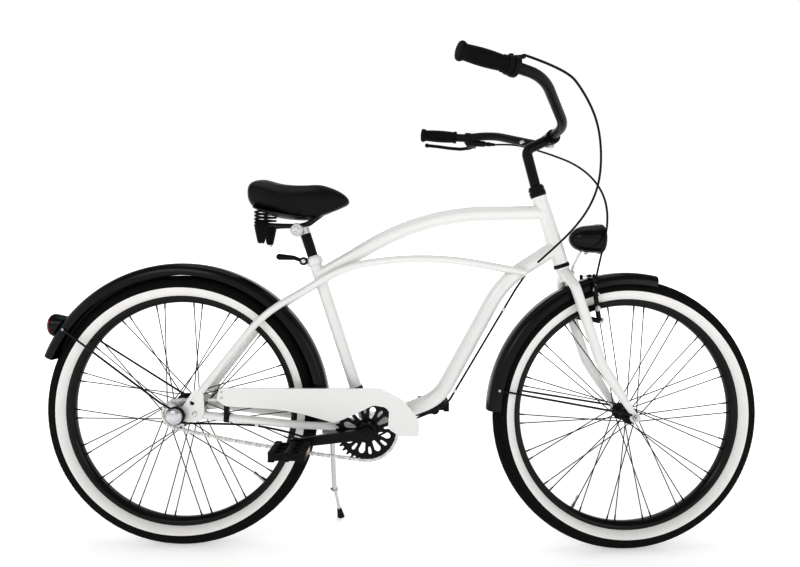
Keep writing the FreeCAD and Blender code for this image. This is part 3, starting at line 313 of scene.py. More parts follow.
FINISH = {
    "gloss_white": surface("gloss_white", (0.78, 0.78, 0.765), 0.25, coat=0.6, mottle=0.012, scale=8),
    "gloss_black": surface("gloss_black", (0.004, 0.004, 0.005), 0.24, coat=0.12, mottle=0.1, scale=10, shine=0.2),
    "satin_black": surface("satin_black", (0.005, 0.005, 0.006), 0.34, coat=0.03, mottle=0.12, scale=40,
                           shine=0.16),
    "black_plastic": surface("black_plastic", (0.006, 0.006, 0.007), 0.5, shine=0.14, mottle=0.15, bump=0.25,
                             bump_scale=900),
    "black_rubber": surface("black_rubber", (0.005, 0.005, 0.005), 0.62, shine=0.12, mottle=0.2, bump=0.3,
                            bump_scale=700),
    "tyre_black": surface("tyre_black", (0.006, 0.006, 0.006), 0.72, shine=0.1, mottle=0.25, bump=0.35,
                          bump_scale=500),
    "white_rubber": surface("white_rubber", (0.8, 0.79, 0.77), 0.5, mottle=0.02, scale=30, bump=0.1),
    "chrome": surface("chrome", (0.75, 0.75, 0.76), 0.12, metal=1.0, mottle=0.03),
    "aluminium": surface("aluminium", (0.6, 0.6, 0.62), 0.32, metal=1.0, mottle=0.05, bump=0.1, bump_scale=1200),
    "steel": surface("steel", (0.5, 0.5, 0.51), 0.3, metal=1.0, mottle=0.08),
    "black_vinyl": surface("black_vinyl", (0.005, 0.005, 0.006), 0.42, shine=0.18, mottle=0.15, bump=0.55,
                           bump_scale=650),
    "red_lens": surface("red_lens", (0.42, 0.01, 0.012), 0.12, coat=0.5, mottle=0.1),
    "clear_lens": clear_glass(),
    "light_chain": surface("light_chain", (0.72, 0.71, 0.69), 0.35, metal=0.3, mottle=0.08),
    "cable_black": surface("cable_black", (0.006, 0.006, 0.007), 0.4, mottle=0.1, shine=0.15),
    "lamp_bowl": surface("lamp_bowl", (0.8, 0.8, 0.81), 0.1, metal=1.0, mottle=0.02),
    "amber": surface("amber", (0.4, 0.1, 0.01), 0.2, coat=0.5, mottle=0.08),
    "spoke_black": surface("spoke_black", (0.008, 0.008, 0.009), 0.3, mottle=0.1, shine=0.2),
}
node_slot = {s["node"]: s["material_slot"] for s in frame["record"]["subparts"]}
for node, holder in frame["nodes"].items():
    holder.data.materials.clear()
    holder.data.materials.append(FINISH[node_slot[node]])

# Camera, from the fit of the photograph's wheels, hubs, cranks, saddle and handlebar
CAMERA_AHEAD = 0.53394      # of the rear axle
CAMERA_BACK = 1.43941
CAMERA_HEIGHT = 0.77116
CAMERA_PITCH = -4.758
CAMERA_ROLL = 0.47
CAMERA_LENS = 26.645
rear_axle = joint_point("rear_wheel_spin")
lens = bpy.data.cameras.new("camera")
lens.lens = CAMERA_LENS
lens.sensor_width = 36.0
camera = bpy.data.objects.new("camera", lens)
bpy.context.scene.collection.objects.link(camera)
camera.matrix_world = (Matrix.Translation((rear_axle.x + CAMERA_AHEAD, rear_axle.y - CAMERA_BACK, CAMERA_HEIGHT))
                       @ Matrix.Rotation(math.radians(90 + CAMERA_PITCH), 4, "X")
                       @ Matrix.Rotation(math.radians(CAMERA_ROLL), 4, "Z"))
bpy.context.scene.camera = camera


# Wheels

def tyre(prefix, place, body):
    """casing with raised blocks on the tread."""
    bm = bmesh.new()
    angles = [-76, -60, -40, -20, -2, 14, 28, 40, 52, 63, 74, 84, 90]
    casing = TYRE_SECTION_R - 0.6
    half = [(TYRE_CORE_R + casing * math.sin(math.radians(a)), casing * math.cos(math.radians(a))) for a in angles]
    profile = half[:-1] + [(r, -y) for r, y in reversed(half[:-1])]
    lathe(bm, profile, steps=TREAD_STEPS)
    bmesh.ops.remove_doubles(bm, verts=bm.verts, dist=0.002)
    bmesh.ops.recalc_face_normals(bm, faces=bm.faces)
    picked = []
    for face in bm.faces:
        c = face.calc_center_median()
        radius = math.hypot(c.x, c.z)
        if radius < TYRE_CORE_R + 10:
            continue
        step = round(math.degrees(math.atan2(c.z, c.x)) / (360.0 / TREAD_STEPS) - 0.5)
        row = round(math.degrees(math.asin(min(1.0, (radius + 0.6 - TYRE_CORE_R) / TYRE_SECTION_R))) / 11)
        if (step + row) % 3:
            picked.append(face)
    bmesh.ops.inset_individual(bm, faces=picked, thickness=0.7, depth=0.0)
    bmesh.ops.inset_individual(bm, faces=picked, thickness=0.25, depth=1.1)
    finish_piece(prefix + "_tyre_tread", bm, place, body, "tyre_black", [prefix + "_tyre"], crease=0.5)


def white_wall(prefix, place, body):
    bm = bmesh.new()
    for side in (-1, 1):
        rows = [-64, -56, -48, -36, -24, -12, -1]
        skin = [(TYRE_CORE_R + (TYRE_SECTION_R + 0.2) * math.sin(math.radians(a)),
                 side * (TYRE_SECTION_R + 0.2) * math.cos(math.radians(a))) for a in rows]
        skin[-1] = (WHITE_R, side * (TYRE_SECTION_R - 0.8))
        back = [(r, y - side * 1.8) for r, y in reversed(skin)]
        lathe(bm, skin + back, steps=144)
    finish_piece(prefix + "_white_side_walls", bm, place, body, "white_rubber", [prefix + "_white_walls"])


def rim(prefix, place, body, valve_deg):
    bm = bmesh.new()
    half = [(282.4, 16.4), (283.9, 16.0), (284.2, 15.0), (281.0, 13.6), (279.0, 11.0), (278.5, 0.0)]
    outside = [(RIM_INNER_R, 0.0), (RIM_INNER_R + 0.2, 5.0), (RIM_INNER_R + 1.4, 8.4), (RIM_INNER_R + 4.0, 10.6),
               (RIM_INNER_R + 7.0, 13.6), (RIM_INNER_R + 9.0, 14.8)]
    side = outside + half
    lathe(bm, side + [(r, -y) for r, y in reversed(side[1:-1])], steps=144)
    finish_piece(prefix + "_rim_band", bm, place, body, "gloss_black", [prefix + "_rim"])
    bm = bmesh.new()
    a, b = polar(RIM_INNER_R + 2, valve_deg), polar(RIM_INNER_R - 14, valve_deg)
    bar(bm, a, b, 4.0, 3.6)
    bar(bm, b, polar(RIM_INNER_R - 26, valve_deg), 3.0, 2.8)
    bar(bm, polar(RIM_INNER_R - 24, valve_deg), polar(RIM_INNER_R - 33, valve_deg), 3.9, 3.3)
    finish_piece(prefix + "_valve", bm, place, body, "steel")


def spokes(prefix, place, body):
    shell_r, flange_r, flange_y = FLANGE[prefix]
    bm = bmesh.new()
    half = SPOKES // 2
    for side in (-1, 1):
        for k in range(half):
            lead = 1 if k % 2 else -1
            a0 = 360.0 * (k + (0.25 if side > 0 else 0.0)) / half
            hub_end = polar(flange_r - 3.0, a0, side * (flange_y - 1.6 + 1.6 * lead))
            rim_end = polar(RIM_INNER_R + 1.0, a0 + lead * SPOKE_LEAD, side * 2.5)
            bar(bm, hub_end, rim_end, SPOKE_R, sides=8)
            nipple = rim_end + (hub_end - rim_end).normalized() * 13.0
            bar(bm, rim_end, nipple, 2.0, 1.7, sides=8)
            bar(bm, hub_end + Vector((0, -1.6, 0)), hub_end + Vector((0, 1.6, 0)), 1.6, sides=8)
    finish_piece(prefix + "_spokes", bm, place, body, "spoke_black")
    bm = bmesh.new()
    w = flange_y
    shell = [(shell_r * 0.55, w + 5.5), (shell_r * 0.72, w + 5.0), (shell_r * 0.8, w + 2.0), (flange_r - 1.0,
                                                                                              w + 1.8),
             (flange_r, w + 0.8), (flange_r, w - 2.4), (flange_r - 1.0, w - 3.2), (shell_r + 5, w - 3.4),
             (shell_r + 1.0, w - 6.5), (shell_r - 0.5, w - 10.0), (shell_r - 1.0, 0.0)]
    profile = shell + [(r, -y) for r, y in reversed(shell[:-1])]
    lathe(bm, profile + [(5.2, -w - 5.5), (5.2, w + 5.5)], steps=64)
    finish_piece(prefix + "_hub", bm, place, body, "satin_black", [prefix + "_hub_and_spokes"])


for prefix, place, body, valve in (("rear", BIKE, "rear_wheel", -41.4), ("front", FORK, "front_wheel", 240.0)):
    tyre(prefix, place, body)
    white_wall(prefix, place, body)
    rim(prefix, place, body, valve)
    spokes(prefix, place, body)


# Chain, link by link

def rotated(v, angle):
    c, s = math.cos(angle), math.sin(angle)
    return Vector((v.x * c - v.z * s, 0, v.x * s + v.z * c))


def chain_path():
    """points along the pitch line: sprocket, slack lower run, chainring, tight upper run."""
    line = BB.normalized()
    lean = (SPROCKET_R - RING_R) / BB.length
    top = line * lean + rotated(line, math.pi / 2) * math.sqrt(1 - lean * lean)
    leave_rear = rotated(SAG.normalized(), -math.acos(SPROCKET_R / SAG.length))
    to_ring = SAG - BB
    leave_ring = rotated(to_ring.normalized(), math.acos(RING_R / to_ring.length))
    points = []

    def arc(centre, r, a, b, n):
        for k in range(n):
            angle = a + (b - a) * k / (n - 1)
            points.append(centre + Vector((math.cos(angle), 0, math.sin(angle))) * r)

    start = math.atan2(top.z, top.x)
    end = math.atan2(leave_rear.z, leave_rear.x) % (2 * math.pi)
    arc(Vector(), SPROCKET_R, start, end, 60)
    p2, p3 = points[-1].copy(), BB + leave_ring * RING_R
    for k in range(1, 60):
        t = k / 60
        points.append(p2 * (1 - t) ** 2 + SAG * 2 * t * (1 - t) * 0.96 + (p2 + p3) * 0.04 * t * (1 - t) + p3 * t * t)
    start = math.atan2(leave_ring.z, leave_ring.x)
    arc(BB, RING_R, start, math.atan2(top.z, top.x), 90)
    points.append(points[0].copy())
    return points


def walk(points, count):
    """count places evenly spaced along a closed line."""
    lengths = [0.0]
    for a, b in zip(points, points[1:]):
        lengths.append(lengths[-1] + (b - a).length)
    places = []
    i = 0
    for k in range(count):
        want = lengths[-1] * k / count
        while lengths[i + 1] < want:
            i += 1
        t = (want - lengths[i]) / max(1e-9, lengths[i + 1] - lengths[i])
        places.append(points[i].lerp(points[i + 1], t))
    return places


def chain():
    path = chain_path()
    total = sum((b - a).length for a, b in zip(path, path[1:]))
    count = 2 * round(total / PITCH / 2)
    pins = walk(path, count)
    bm = bmesh.new()
    for k, pin in enumerate(pins):
        ahead = pins[(k + 1) % count]
        middle, run = (pin + ahead) / 2, ahead - pin
        angle = math.atan2(run.z, run.x)
        outer = k % 2 == 0
        for side in (-1, 1):
            y = -CHAIN_LINE + side * (3.3 if outer else 2.2)
            turn = Matrix.Translation(Vector((middle.x, y, middle.z))) @ Matrix.Rotation(-angle, 4, "Y")
            for end in (-1, 1):
                bmesh.ops.create_cone(bm, cap_ends=True, segments=12, radius1=PLATE_END_R, radius2=PLATE_END_R,
                                      depth=1.0,
                                      matrix=turn @ Matrix.Translation((end * PITCH / 2, 0, 0))
                                      @ Matrix.Rotation(math.pi / 2, 4, "X"))
            block(bm, (0, 0, 0), (PITCH, 1.0, 6.0), turn)
        bar(bm, pin + Vector((0, -CHAIN_LINE - 4.4, 0)), pin + Vector((0, -CHAIN_LINE + 4.4, 0)), 1.8, sides=8)
        bar(bm, pin + Vector((0, -CHAIN_LINE - 1.6, 0)), pin + Vector((0, -CHAIN_LINE + 1.6, 0)), 3.9, sides=12)
    finish_piece("chain_links", bm, BIKE, "frame", "light_chain", ["chain"])


chain()


# Fenders

def fender(name, radius, start, sweep, place, body, node):
    """a rounded strip with rolled edges."""
    bm = bmesh.new()
    w, d = FENDER_HALF - 0.6, FENDER_DEPTH
    rows = 9
    skin = []
    for k in range(-rows, rows + 1):
        f = k / rows
        skin.append((radius - d * abs(f) ** 2.6 - 0.2, w * math.sin(f * math.pi / 2)))
    inner = [(r - 1.3, y * 0.965) for r, y in reversed(skin)]
    roll = 1.2
    profile = [(skin[0][0] - roll, skin[0][1])] + skin + [(skin[-1][0] - roll, skin[-1][1])]
    profile += [(skin[-1][0] - roll, skin[-1][1] - 2.4)] + inner + [(skin[0][0] - roll, skin[0][1] + 2.4)]
    lathe(bm, profile, steps=round(sweep / 1.5), angle=math.radians(sweep), start=math.radians(start))
    open_edges = [e for e in bm.edges if len(e.link_faces) == 1]
    bmesh.ops.holes_fill(bm, edges=open_edges)
    return finish_piece(name, bm, place, body, "gloss_black", [node], crease=0.8)


fender("rear_fender_shell", REAR_FENDER_R, -5.5, 163.5, BIKE, "frame", "rear_fender")
fender("front_fender_shell", FRONT_FENDER_R, 78.0, 100.0, FORK, "steering", "front_fender")


# Saddle on its springs

SADDLE_TOP = ((-116, 102), (-111, 112), (-100, 119), (-84, 121), (-62, 117), (-36, 110), (-8, 107.5), (22, 108.5),
              (50, 110), (74, 107), (96, 101), (114, 92), (126, 83), (131, 74))      # ahead of and above the clamp
SADDLE_FOOT = ((-116, 66), (-108, 50), (-84, 40), (-50, 32), (-10, 27), (22, 26), (52, 34), (90, 49), (116, 57),
               (131, 60))
SADDLE_WIDE = ((-116, 76), (-108, 90), (-90, 102), (-66, 108), (-44, 105), (-20, 87), (4, 64), (28, 49), (56, 39),
               (90, 31), (114, 27), (126, 22), (131, 15))


def between(table, x):
    """a smooth line through a table's places."""
    for k in range(len(table) - 1):
        (xa, a), (xb, b) = table[k], table[k + 1]
        if x <= xb:
            before = table[max(0, k - 1)]
            after = table[min(len(table) - 1, k + 2)]
            slope_a = (b - before[1]) / (xb - before[0])
            slope_b = (after[1] - a) / (after[0] - xa)
            w = xb - xa
            t = min(1.0, max(0.0, (x - xa) / w))
            return ((2 * t ** 3 - 3 * t ** 2 + 1) * a + (t ** 3 - 2 * t ** 2 + t) * w * slope_a
                    + (3 * t ** 2 - 2 * t ** 3) * b + (t ** 3 - t ** 2) * w * slope_b)
    return table[-1][1]


def saddle_form(bm, inset, thick=0.0):
    """a ball drawn out along x, each station as wide, high and deep as the tables say."""
    ball = bmesh.ops.create_uvsphere(bm, u_segments=40, v_segments=36, radius=1.0,
                                     matrix=Matrix.Rotation(math.pi / 2, 4, "Y"))
    first, last = SADDLE_TOP[0][0] + inset, SADDLE_TOP[-1][0] - inset
    for v in ball["verts"]:
        x = first + (last - first) * (v.co.x + 1) / 2
        ring = max(1e-6, math.hypot(v.co.y, v.co.z))
        c, d = v.co.y / ring, v.co.z / ring
        wide = max(2.0, between(SADDLE_WIDE, x) - inset)
        foot = between(SADDLE_FOOT, x) + (3.0 if thick else inset)
        top = foot + thick if thick else between(SADDLE_TOP, x) - inset
        end = min(1.0, ring * 2.4) ** 0.42
        y = math.copysign(abs(c) ** 0.8, c) * wide * end
        z = (top + foot) / 2 + math.copysign(abs(d) ** 0.72, d) * (top - foot) / 2 * end
        if d > 0 and not thick:
            z -= 10.0 * (abs(y) / 110.0) ** 2 * d
        v.co = SADDLE + Vector((x, y, z))


def saddle():
    bm = bmesh.new()
    saddle_form(bm, 3.0)
    bm.transform(BIKE)
    mesh = bpy.data.meshes.new("saddle_pad")
    bm.to_mesh(mesh)
    bm.free()
    pad = finish_mesh("saddle_pad", mesh, "frame", "black_vinyl", ["saddle"], crease=3.2)
    shaped = pad.modifiers.new("even", "REMESH")
    shaped.mode = "VOXEL"
    shaped.voxel_size = 0.005
    settle(pad)
    before = [v.co.copy() for v in pad.data.vertices]
    fabric = pad.modifiers.new("swell", "CLOTH")
    fabric.settings.use_pressure = True
    fabric.settings.uniform_pressure_force = 4.0
    fabric.settings.effector_weights.gravity = 0.0
    for step in range(1, 21):
        bpy.context.scene.frame_set(step)
    settle(pad)
    for v, start in zip(pad.data.vertices, before):
        move = v.co - start
        if move.length > SADDLE_SWELL:
            v.co = start + move.normalized() * SADDLE_SWELL
    finer = pad.modifiers.new("finer", "SUBSURF")
    finer.levels = finer.render_levels = 1
    settle(pad)
    bpy.context.scene.frame_set(1)
    pad.data.shade_smooth()
    bm = bmesh.new()
    saddle_form(bm, 16.0, thick=5.0)
    finish_piece("saddle_pan", bm, BIKE, "frame", "black_plastic", crease=3.2)


def settle(piece):
    """what the modifiers make becomes the mesh."""
    graph = bpy.context.evaluated_depsgraph_get()
    graph.update()
    made = bpy.data.meshes.new_from_object(piece.evaluated_get(graph), depsgraph=graph)
    piece.modifiers.clear()
    piece.data = made


SADDLE_SWELL = 0.004        # metres
saddle()

SPRING = SADDLE + Vector((-80, 0, -38))
springs, boots, feet = bmesh.new(), bmesh.new(), bmesh.new()
for side in (-1, 1):
    at = SPRING + Vector((0, side * 48, 0))
    coil(springs, at + Vector((0, 0, 56)), 14.8, 2.4, 25.0, 3.1)
    turned(boots, [(0, 3), (7.0, 3), (8.6, 8), (10.5, 18), (12.6, 30), (14.4, 40), (15.0, 43), (17.0, 44),
                   (17.0, 46.5),
                   (15.0, 47.5), (15.0, 50), (16.8, 51), (16.8, 53.5), (15.0, 54.5), (13.0, 58), (0, 58)],
           at, (0, 0, 1), steps=28)
    for k in range(9):
        turn = Vector((math.cos(k * math.tau / 9), math.sin(k * math.tau / 9), 0))
        bar(boots, at + turn * 7.6 + Vector((0, 0, 7)), at + turn * 14.2 + Vector((0, 0, 42)), 1.3, 1.9, sides=8)
    bolt(feet, at + Vector((0, 0, 3)), (0, 0, -1), 9.0, 6.0)
finish_piece("coil_springs", springs, BIKE, "frame", "satin_black", ["saddle_springs"])
finish_piece("boot_rubbers", boots, BIKE, "frame", "black_rubber", ["spring_boots"])
finish_piece("boot_nuts", feet, BIKE, "frame", "chrome")
RAIL = ((-80, 48, 9), (-52, 34, 10), (-30, 20, 10), (18, 19, 10), (44, 16, 30), (74, 12, 52))     # from the clamp
rails, _ = tubes("saddle_rail_wires", [[SADDLE + Vector((x, side * y, z)) for x, y, z in RAIL] for side in (-1,
                                                                                                            1)], 4.2,
                 BIKE)
finish_mesh("saddle_rail_wires", rails, "frame", "satin_black", ["saddle_rails"])

bm = bmesh.new()
turned(bm, [(5, -24), (14.0, -24), (15.3, -23), (15.3, -18), (12.0, -17), (12.0, -9), (15.3, -8), (15.3, 8),
            (12.0, 9),
            (12.0, 17), (15.3, 18), (15.3, 23), (14.0, 24), (5, 24)], SADDLE, (0, 1, 0), steps=40, closed=True)
for side in (-1, 1):
    for k in range(24):
        tooth = SADDLE + polar(15.2, 15 * k, side * 20.5)
        block(bm, tooth, (1.6, 4.6, 1.2), Matrix.Rotation(-math.radians(15 * k), 4, "Y"))
finish_piece("saddle_clamp_discs", bm, BIKE, "frame", "aluminium", ["saddle_clamp"])
bm = bmesh.new()
for side in (-1, 1):
    bolt(bm, SADDLE + Vector((0, side * 24, 0)), (0, side, 0), 13.0, 8.0)
    turned(bm, [(0, 0), (3.4, 0), (3.4, 12), (0, 12)], SADDLE + Vector((0, side * 24, 0)), (0, side, 0), steps=12)
finish_piece("saddle_clamp_nuts", bm, BIKE, "frame", "chrome")
bm = bmesh.new()
turned(bm, [(11.0, 489), (12.8, 489), (12.8, 495), (11.6, 498), (11.0, 498)], BB, SEAT_DIR, steps=32, closed=True)
finish_piece("seat_post_step", bm, BIKE, "frame", "satin_black")
bm = bmesh.new()
turned(bm, [(12.75, 498), (12.95, 498), (12.95, 514.6), (12.75, 514.6)], BB, SEAT_DIR, steps=32, closed=True)
finish_piece("seat_post_neck", bm, BIKE, "frame", "aluminium")
release = on_seat(SEAT_TUBE_LEN - 13) + Vector((-24.5, 0, 0))
bm = bmesh.new()
turned(bm, [(16.4, -22), (19.4, -22), (20.0, -21), (20.0, -5), (19.4, -4), (16.4, -4)], on_seat(SEAT_TUBE_LEN),
       SEAT_DIR,
       steps=48, closed=True)
for side in (-1, 1):
    block(bm, release + Vector((5, side * 6.5, 0)), (17, 6, 17))
soften(bm, 1.2)
finish_piece("seat_collar", bm, BIKE, "frame", "gloss_white", ["seat_quick_release"])
bm = bmesh.new()
turned(bm, [(0, 9.6), (9.6, 9.6), (10.0, 10.6), (10.0, 19), (9.2, 20.4), (0, 20.4)], release, (0, -1, 0), steps=32)
turned(bm, [(0, 9.6), (8.2, 9.6), (8.6, 10.4), (8.6, 17.6), (7.6, 18.8), (0, 18.8)], release, (0, 1, 0), steps=32)
for a, b, r0, r1 in (((-6, -17, 2), (-22, -21, 8), 4.4, 5.0), ((-22, -21, 8), (-58, -23, 10), 5.4, 7.6)):
    bar(bm, release + Vector(a), release + Vector(b), r0, r1)
    bmesh.ops.create_icosphere(bm, subdivisions=2, radius=r1, matrix=Matrix.Translation(release + Vector(b)))
finish_piece("quick_release_lever", bm, BIKE, "frame", "satin_black")
bm = bmesh.new()
turned(bm, [(0, 20), (5.6, 20), (5.6, 22), (4.4, 23.2), (0, 23.4)], release, (0, -1, 0), steps=24)
turned(bm, [(0, 18.4), (5.0, 18.4), (4.4, 20.6), (0, 20.8)], release, (0, 1, 0), steps=24)
finish_piece("quick_release_caps", bm, BIKE, "frame", "chrome")


# Handlebar fittings

BAR_CLAMP = on_axis(HEAD_TUBE_LEN + 126.8, 0, 74.1)
BAR_END = BAR_CLAMP + Vector((-280, -317, 81))
GRIP_IN = (Vector((-163, -282, 67)) - Vector((-280, -317, 81))).normalized()
GRIP_LEN = 98.0


def left(v):
    """the same place on the rider's left."""
    return Vector((v.x, -v.y, v.z))


grips = bmesh.new()
grip_skin = [(0, -6), (13, -6), (17.4, -5), (18.9, -2.5), (18.9, 1), (17.6, 4), (15.6, 8)]
for k in range(18):
    s0 = 10 + k * 4.4
    swell = 15.0 + 1.5 * math.sin(math.pi * k / 17)
    grip_skin += [(swell, s0), (swell + 0.55, s0 + 0.7), (swell + 0.55, s0 + 2.9), (swell, s0 + 3.6)]
grip_skin += [(15.2, 90), (17.0, 91.5), (17.0, 96.5), (16.0, 98), (11.3, 98)]
for at, line in ((BAR_END, GRIP_IN), (left(BAR_END), left(GRIP_IN))):
    turned(grips, grip_skin + [(11.3, 0), (0, 0)], at, line, steps=40)
finish_piece("grip_rubbers", grips, STEERED, "steering", "black_rubber", ["grips"])

OUTLET = BAR_END + GRIP_IN * (GRIP_LEN + 14)
OUTLET_TIP = OUTLET + Vector((26, 4, 24))
bm = bmesh.new()
twist = [(11.3, 98.6), (17.4, 98.6), (18.4, 100)]
for k in range(3):
    twist += [(18.4, 101 + 3.4 * k), (19.2, 101.6 + 3.4 * k), (19.2, 103.2 + 3.4 * k), (18.4, 103.8 + 3.4 * k)]
twist += [(18.0, 111.5), (20.6, 112), (20.9, 114), (20.9, 121), (19.6, 123.6), (16.5, 124), (11.3, 124)]
turned(bm, twist, BAR_END, GRIP_IN, steps=48, closed=True)
turned(bm, [(0, 0), (7.6, 0), (7.8, 8), (6.6, 14), (6.6, 17), (5.6, 18), (5.6, 22), (4.6, 23), (4.4, 34), (0, 34)],
       OUTLET + Vector((0, 0, 14)) - (OUTLET_TIP - OUTLET).normalized() * 6, OUTLET_TIP - OUTLET - Vector((0, 0,
                                                                                                           14)),
       steps=20)
finish_piece("shifter_body", bm, STEERED, "steering", "black_plastic", ["twist_shifter"])
bm = bmesh.new()
window = OUTLET + Vector((-4, -3, 19.6))
block(bm, window, (9, 15, 2.4), Matrix.Rotation(0.25, 4, "Z"))
soften(bm, 1.0)
finish_piece("shifter_window", bm, STEERED, "steering", "gloss_black")

LEVER = left(BAR_END) + left(GRIP_IN) * (GRIP_LEN + 34)
BARREL = LEVER + Vector((0, 4, -12))
BARREL_END = BARREL + left(GRIP_IN) * 80
bm = bmesh.new()
turned(bm, [(11.2, -8), (15.0, -8), (15.9, -7), (15.9, 7), (15.0, 8), (11.2, 8)], LEVER, left(GRIP_IN), steps=28,
       closed=True)
turned(bm, [(0, -5), (6.5, -5), (8.5, -3), (8.7, 30), (8.2, 50), (5.4, 53), (5.4, 56), (6.2, 57), (6.2, 65),
            (5.0, 66),
            (5.0, 70), (4.2, 71), (4.2, 80), (0, 80)], BARREL, left(GRIP_IN), steps=22)
block(bm, LEVER + Vector((14, 20, -18)), (24, 26, 9), Matrix.Rotation(-0.35, 4, "Z"))
soften(bm, 1.2)
finish_piece("lever_bracket", bm, STEERED, "steering", "satin_black", ["brake_lever"])
bm = bmesh.new()
ribs = [LEVER + Vector(p) for p in ((26, 10, -17), (12, 30, -21), (-14, 43, -22), (-45, 52, -18), (-80, 60, -12),
                                    (-112, 66, -8))]
for a, b in zip(ribs, ribs[1:]):
    bar(bm, a, b, 4.7, 4.7, sides=14)
for a in ribs:
    bmesh.ops.create_icosphere(bm, subdivisions=2, radius=4.75, matrix=Matrix.Translation(a))
bmesh.ops.create_icosphere(bm, subdivisions=2, radius=6.6, matrix=Matrix.Translation(ribs[-1]))
finish_piece("lever_blade", bm, STEERED, "steering", "satin_black")
bm = bmesh.new()
screw(bm, LEVER + Vector((17, 24, -13.5)), (0, 0, 1), 4.2, 3)
screw(bm, LEVER + Vector((0, 15.8, 3)), (0, 1, 0.2), 3.4, 3)
finish_piece("lever_screws", bm, STEERED, "steering", "steel")

# Headset, stem bolts
bm = bmesh.new()
turned(bm, [(17.3, 183.9), (20.2, 184.2), (20.4, 187), (18.6, 188), (18.6, 191), (19.8, 192), (19.8, 195.4),
            (18.2, 196.4),
            (18.2, 199), (15.0, 202), (12.8, 202.4), (12.8, 200.6), (17.3, 200.4)], HEAD_LOW, UP_AXIS, steps=40,
       closed=True)
finish_piece("lock_nut", bm, STEERED, "steering", "satin_black")
bm = bmesh.new()
bolt(bm, on_axis(HEAD_TUBE_LEN + 138, 0, 3.0), UP_AXIS, 9.0, 6.0)
bolt(bm, BAR_CLAMP + Vector((2, 0, -16.8)), (0.15, 0, -1), 10.0, 7.0)
finish_piece("stem_bolts", bm, STEERED, "steering", "steel")
bm = bmesh.new()
for face, way in ((0.0, -1), (HEAD_TUBE_LEN, 1)):
    turned(bm, [(15.9, face), (19.2, face), (19.6, face + way * 2), (19.0, face + way * 3), (20.1, face + way * 5),
                (20.1, face + way * 8), (18.6, face + way * 9.1), (15.9, face + way * 9.1)], HEAD_LOW, UP_AXIS,
           steps=48, closed=True)
finish_piece("headset_bowls", bm, BIKE, "frame", "satin_black", ["headset_cups"])

# Headlamp

LAMP = on_axis(26.1, 0, 114.7) - Vector((79.0, 0, 0))
bm = bmesh.new()
turned(bm, [(0, 0), (5, 0.4), (10.5, 2.2), (16, 5.6), (21, 10.2), (25.6, 16.4), (29.4, 24.6), (32.2, 35), (33.9,
                                                                                                           47),
            (34.6, 60), (34.8, 71), (34.8, 73), (33.4, 74), (33.4, 77), (31.8, 78), (30.4, 70), (20, 55), (9,
                                                                                                           49), (0, 49)],
       LAMP, (1, 0, 0), steps=64)
for tilt in (-0.16, 0.16):
    a = LAMP + Vector((30, 30.6 * math.sin(tilt), 30.6 * math.cos(tilt)))
    b = LAMP + Vector((70, 35.0 * math.sin(tilt), 35.0 * math.cos(tilt)))
    bar(bm, a, b, 1.0, 1.6, sides=10)
finish_piece("lamp_shell", bm, STEERED, "steering", "gloss_black", ["headlamp"])
bm = bmesh.new()
turned(bm, [(34.6, 72.5), (36.4, 73.4), (36.9, 76), (36.6, 80), (35.2, 82.0), (33.0, 82.4), (32.4, 80.5), (33.2,
                                                                                                           78),
            (33.2, 73)], LAMP, (1, 0, 0), steps=72, closed=True)
finish_piece("lamp_ring", bm, STEERED, "steering", "gloss_black")
bm = bmesh.new()
turned(bm, [(0, 49.4), (9, 49.6), (20, 55.6), (27, 64), (31.6, 77.6), (30.6, 77.6), (26, 65), (19.4, 57), (8.6, 51),
            (0, 50.6)], LAMP, (1, 0, 0), steps=64)
finish_piece("lamp_bowl", bm, STEERED, "steering", "lamp_bowl")
bm = bmesh.new()
turned(bm, [(0, 50), (5.5, 50), (5.5, 57), (4.2, 58), (4.6, 62), (3.2, 66), (0, 67.4)], LAMP, (1, 0, 0), steps=24)
finish_piece("lamp_bulb", bm, STEERED, "steering", "white_rubber")
bm = bmesh.new()
turned(bm, [(0, 84.6), (12, 84.2), (23, 82.6), (32.9, 79.4), (32.9, 78.2), (23, 81.0), (12, 82.6), (0, 83.0)], LAMP,
       (1, 0, 0), steps=64)
finish_piece("lamp_glass", bm, STEERED, "steering", "clear_lens", ["headlamp_lens"])
bm = bmesh.new()
bolt(bm, on_axis(-31, 0, 18.4), FORWARD, 10.0, 6.0)
bolt(bm, LAMP + Vector((42, 0, -34)), (0, 0, -1), 8.0, 5.0)
finish_piece("lamp_bolts", bm, STEERED, "steering", "steel")

# Rear lamp on the fender

REAR_LAMP = Vector((-math.sqrt(REAR_FENDER_R ** 2 - 180.0 ** 2) - 3.0, 0, 208.0))
bm = bmesh.new()
turned(bm, [(0, -60), (10, -59), (14, -54), (18, -44), (22.4, -30), (26.0, -14), (27.8, -4), (28.2, 0), (27.6, 1.2),
            (26.4, 1.2), (26.0, 0), (0, 0)], REAR_LAMP, (-1, 0, 0), steps=48)
seat = Vector((REAR_LAMP.x + 24, 0, REAR_LAMP.z)).normalized()
bmesh.ops.bisect_plane(bm, geom=bm.verts[:] + bm.edges[:] + bm.faces[:], plane_co=seat * (REAR_FENDER_R - 0.4),
                       plane_no=seat, clear_inner=True)
bmesh.ops.holes_fill(bm, edges=[e for e in bm.edges if len(e.link_faces) == 1])
finish_piece("rear_lamp_shell", bm, BIKE, "frame", "gloss_black", ["rear_lamp"])
bm = bmesh.new()
turned(bm, [(0, 0.4), (25.6, 0.4), (26.2, 2), (26.2, 4), (24.6, 6.2), (21, 7.6), (20.4, 7.0), (14, 8.4), (13.4,
                                                                                                          7.8),
            (7, 9.0), (0, 9.0)], REAR_LAMP, (-1, 0, 0), steps=48)
finish_piece("rear_lamp_glass", bm, BIKE, "frame", "red_lens", ["rear_lamp_lens"])

# Gear box on the rear axle

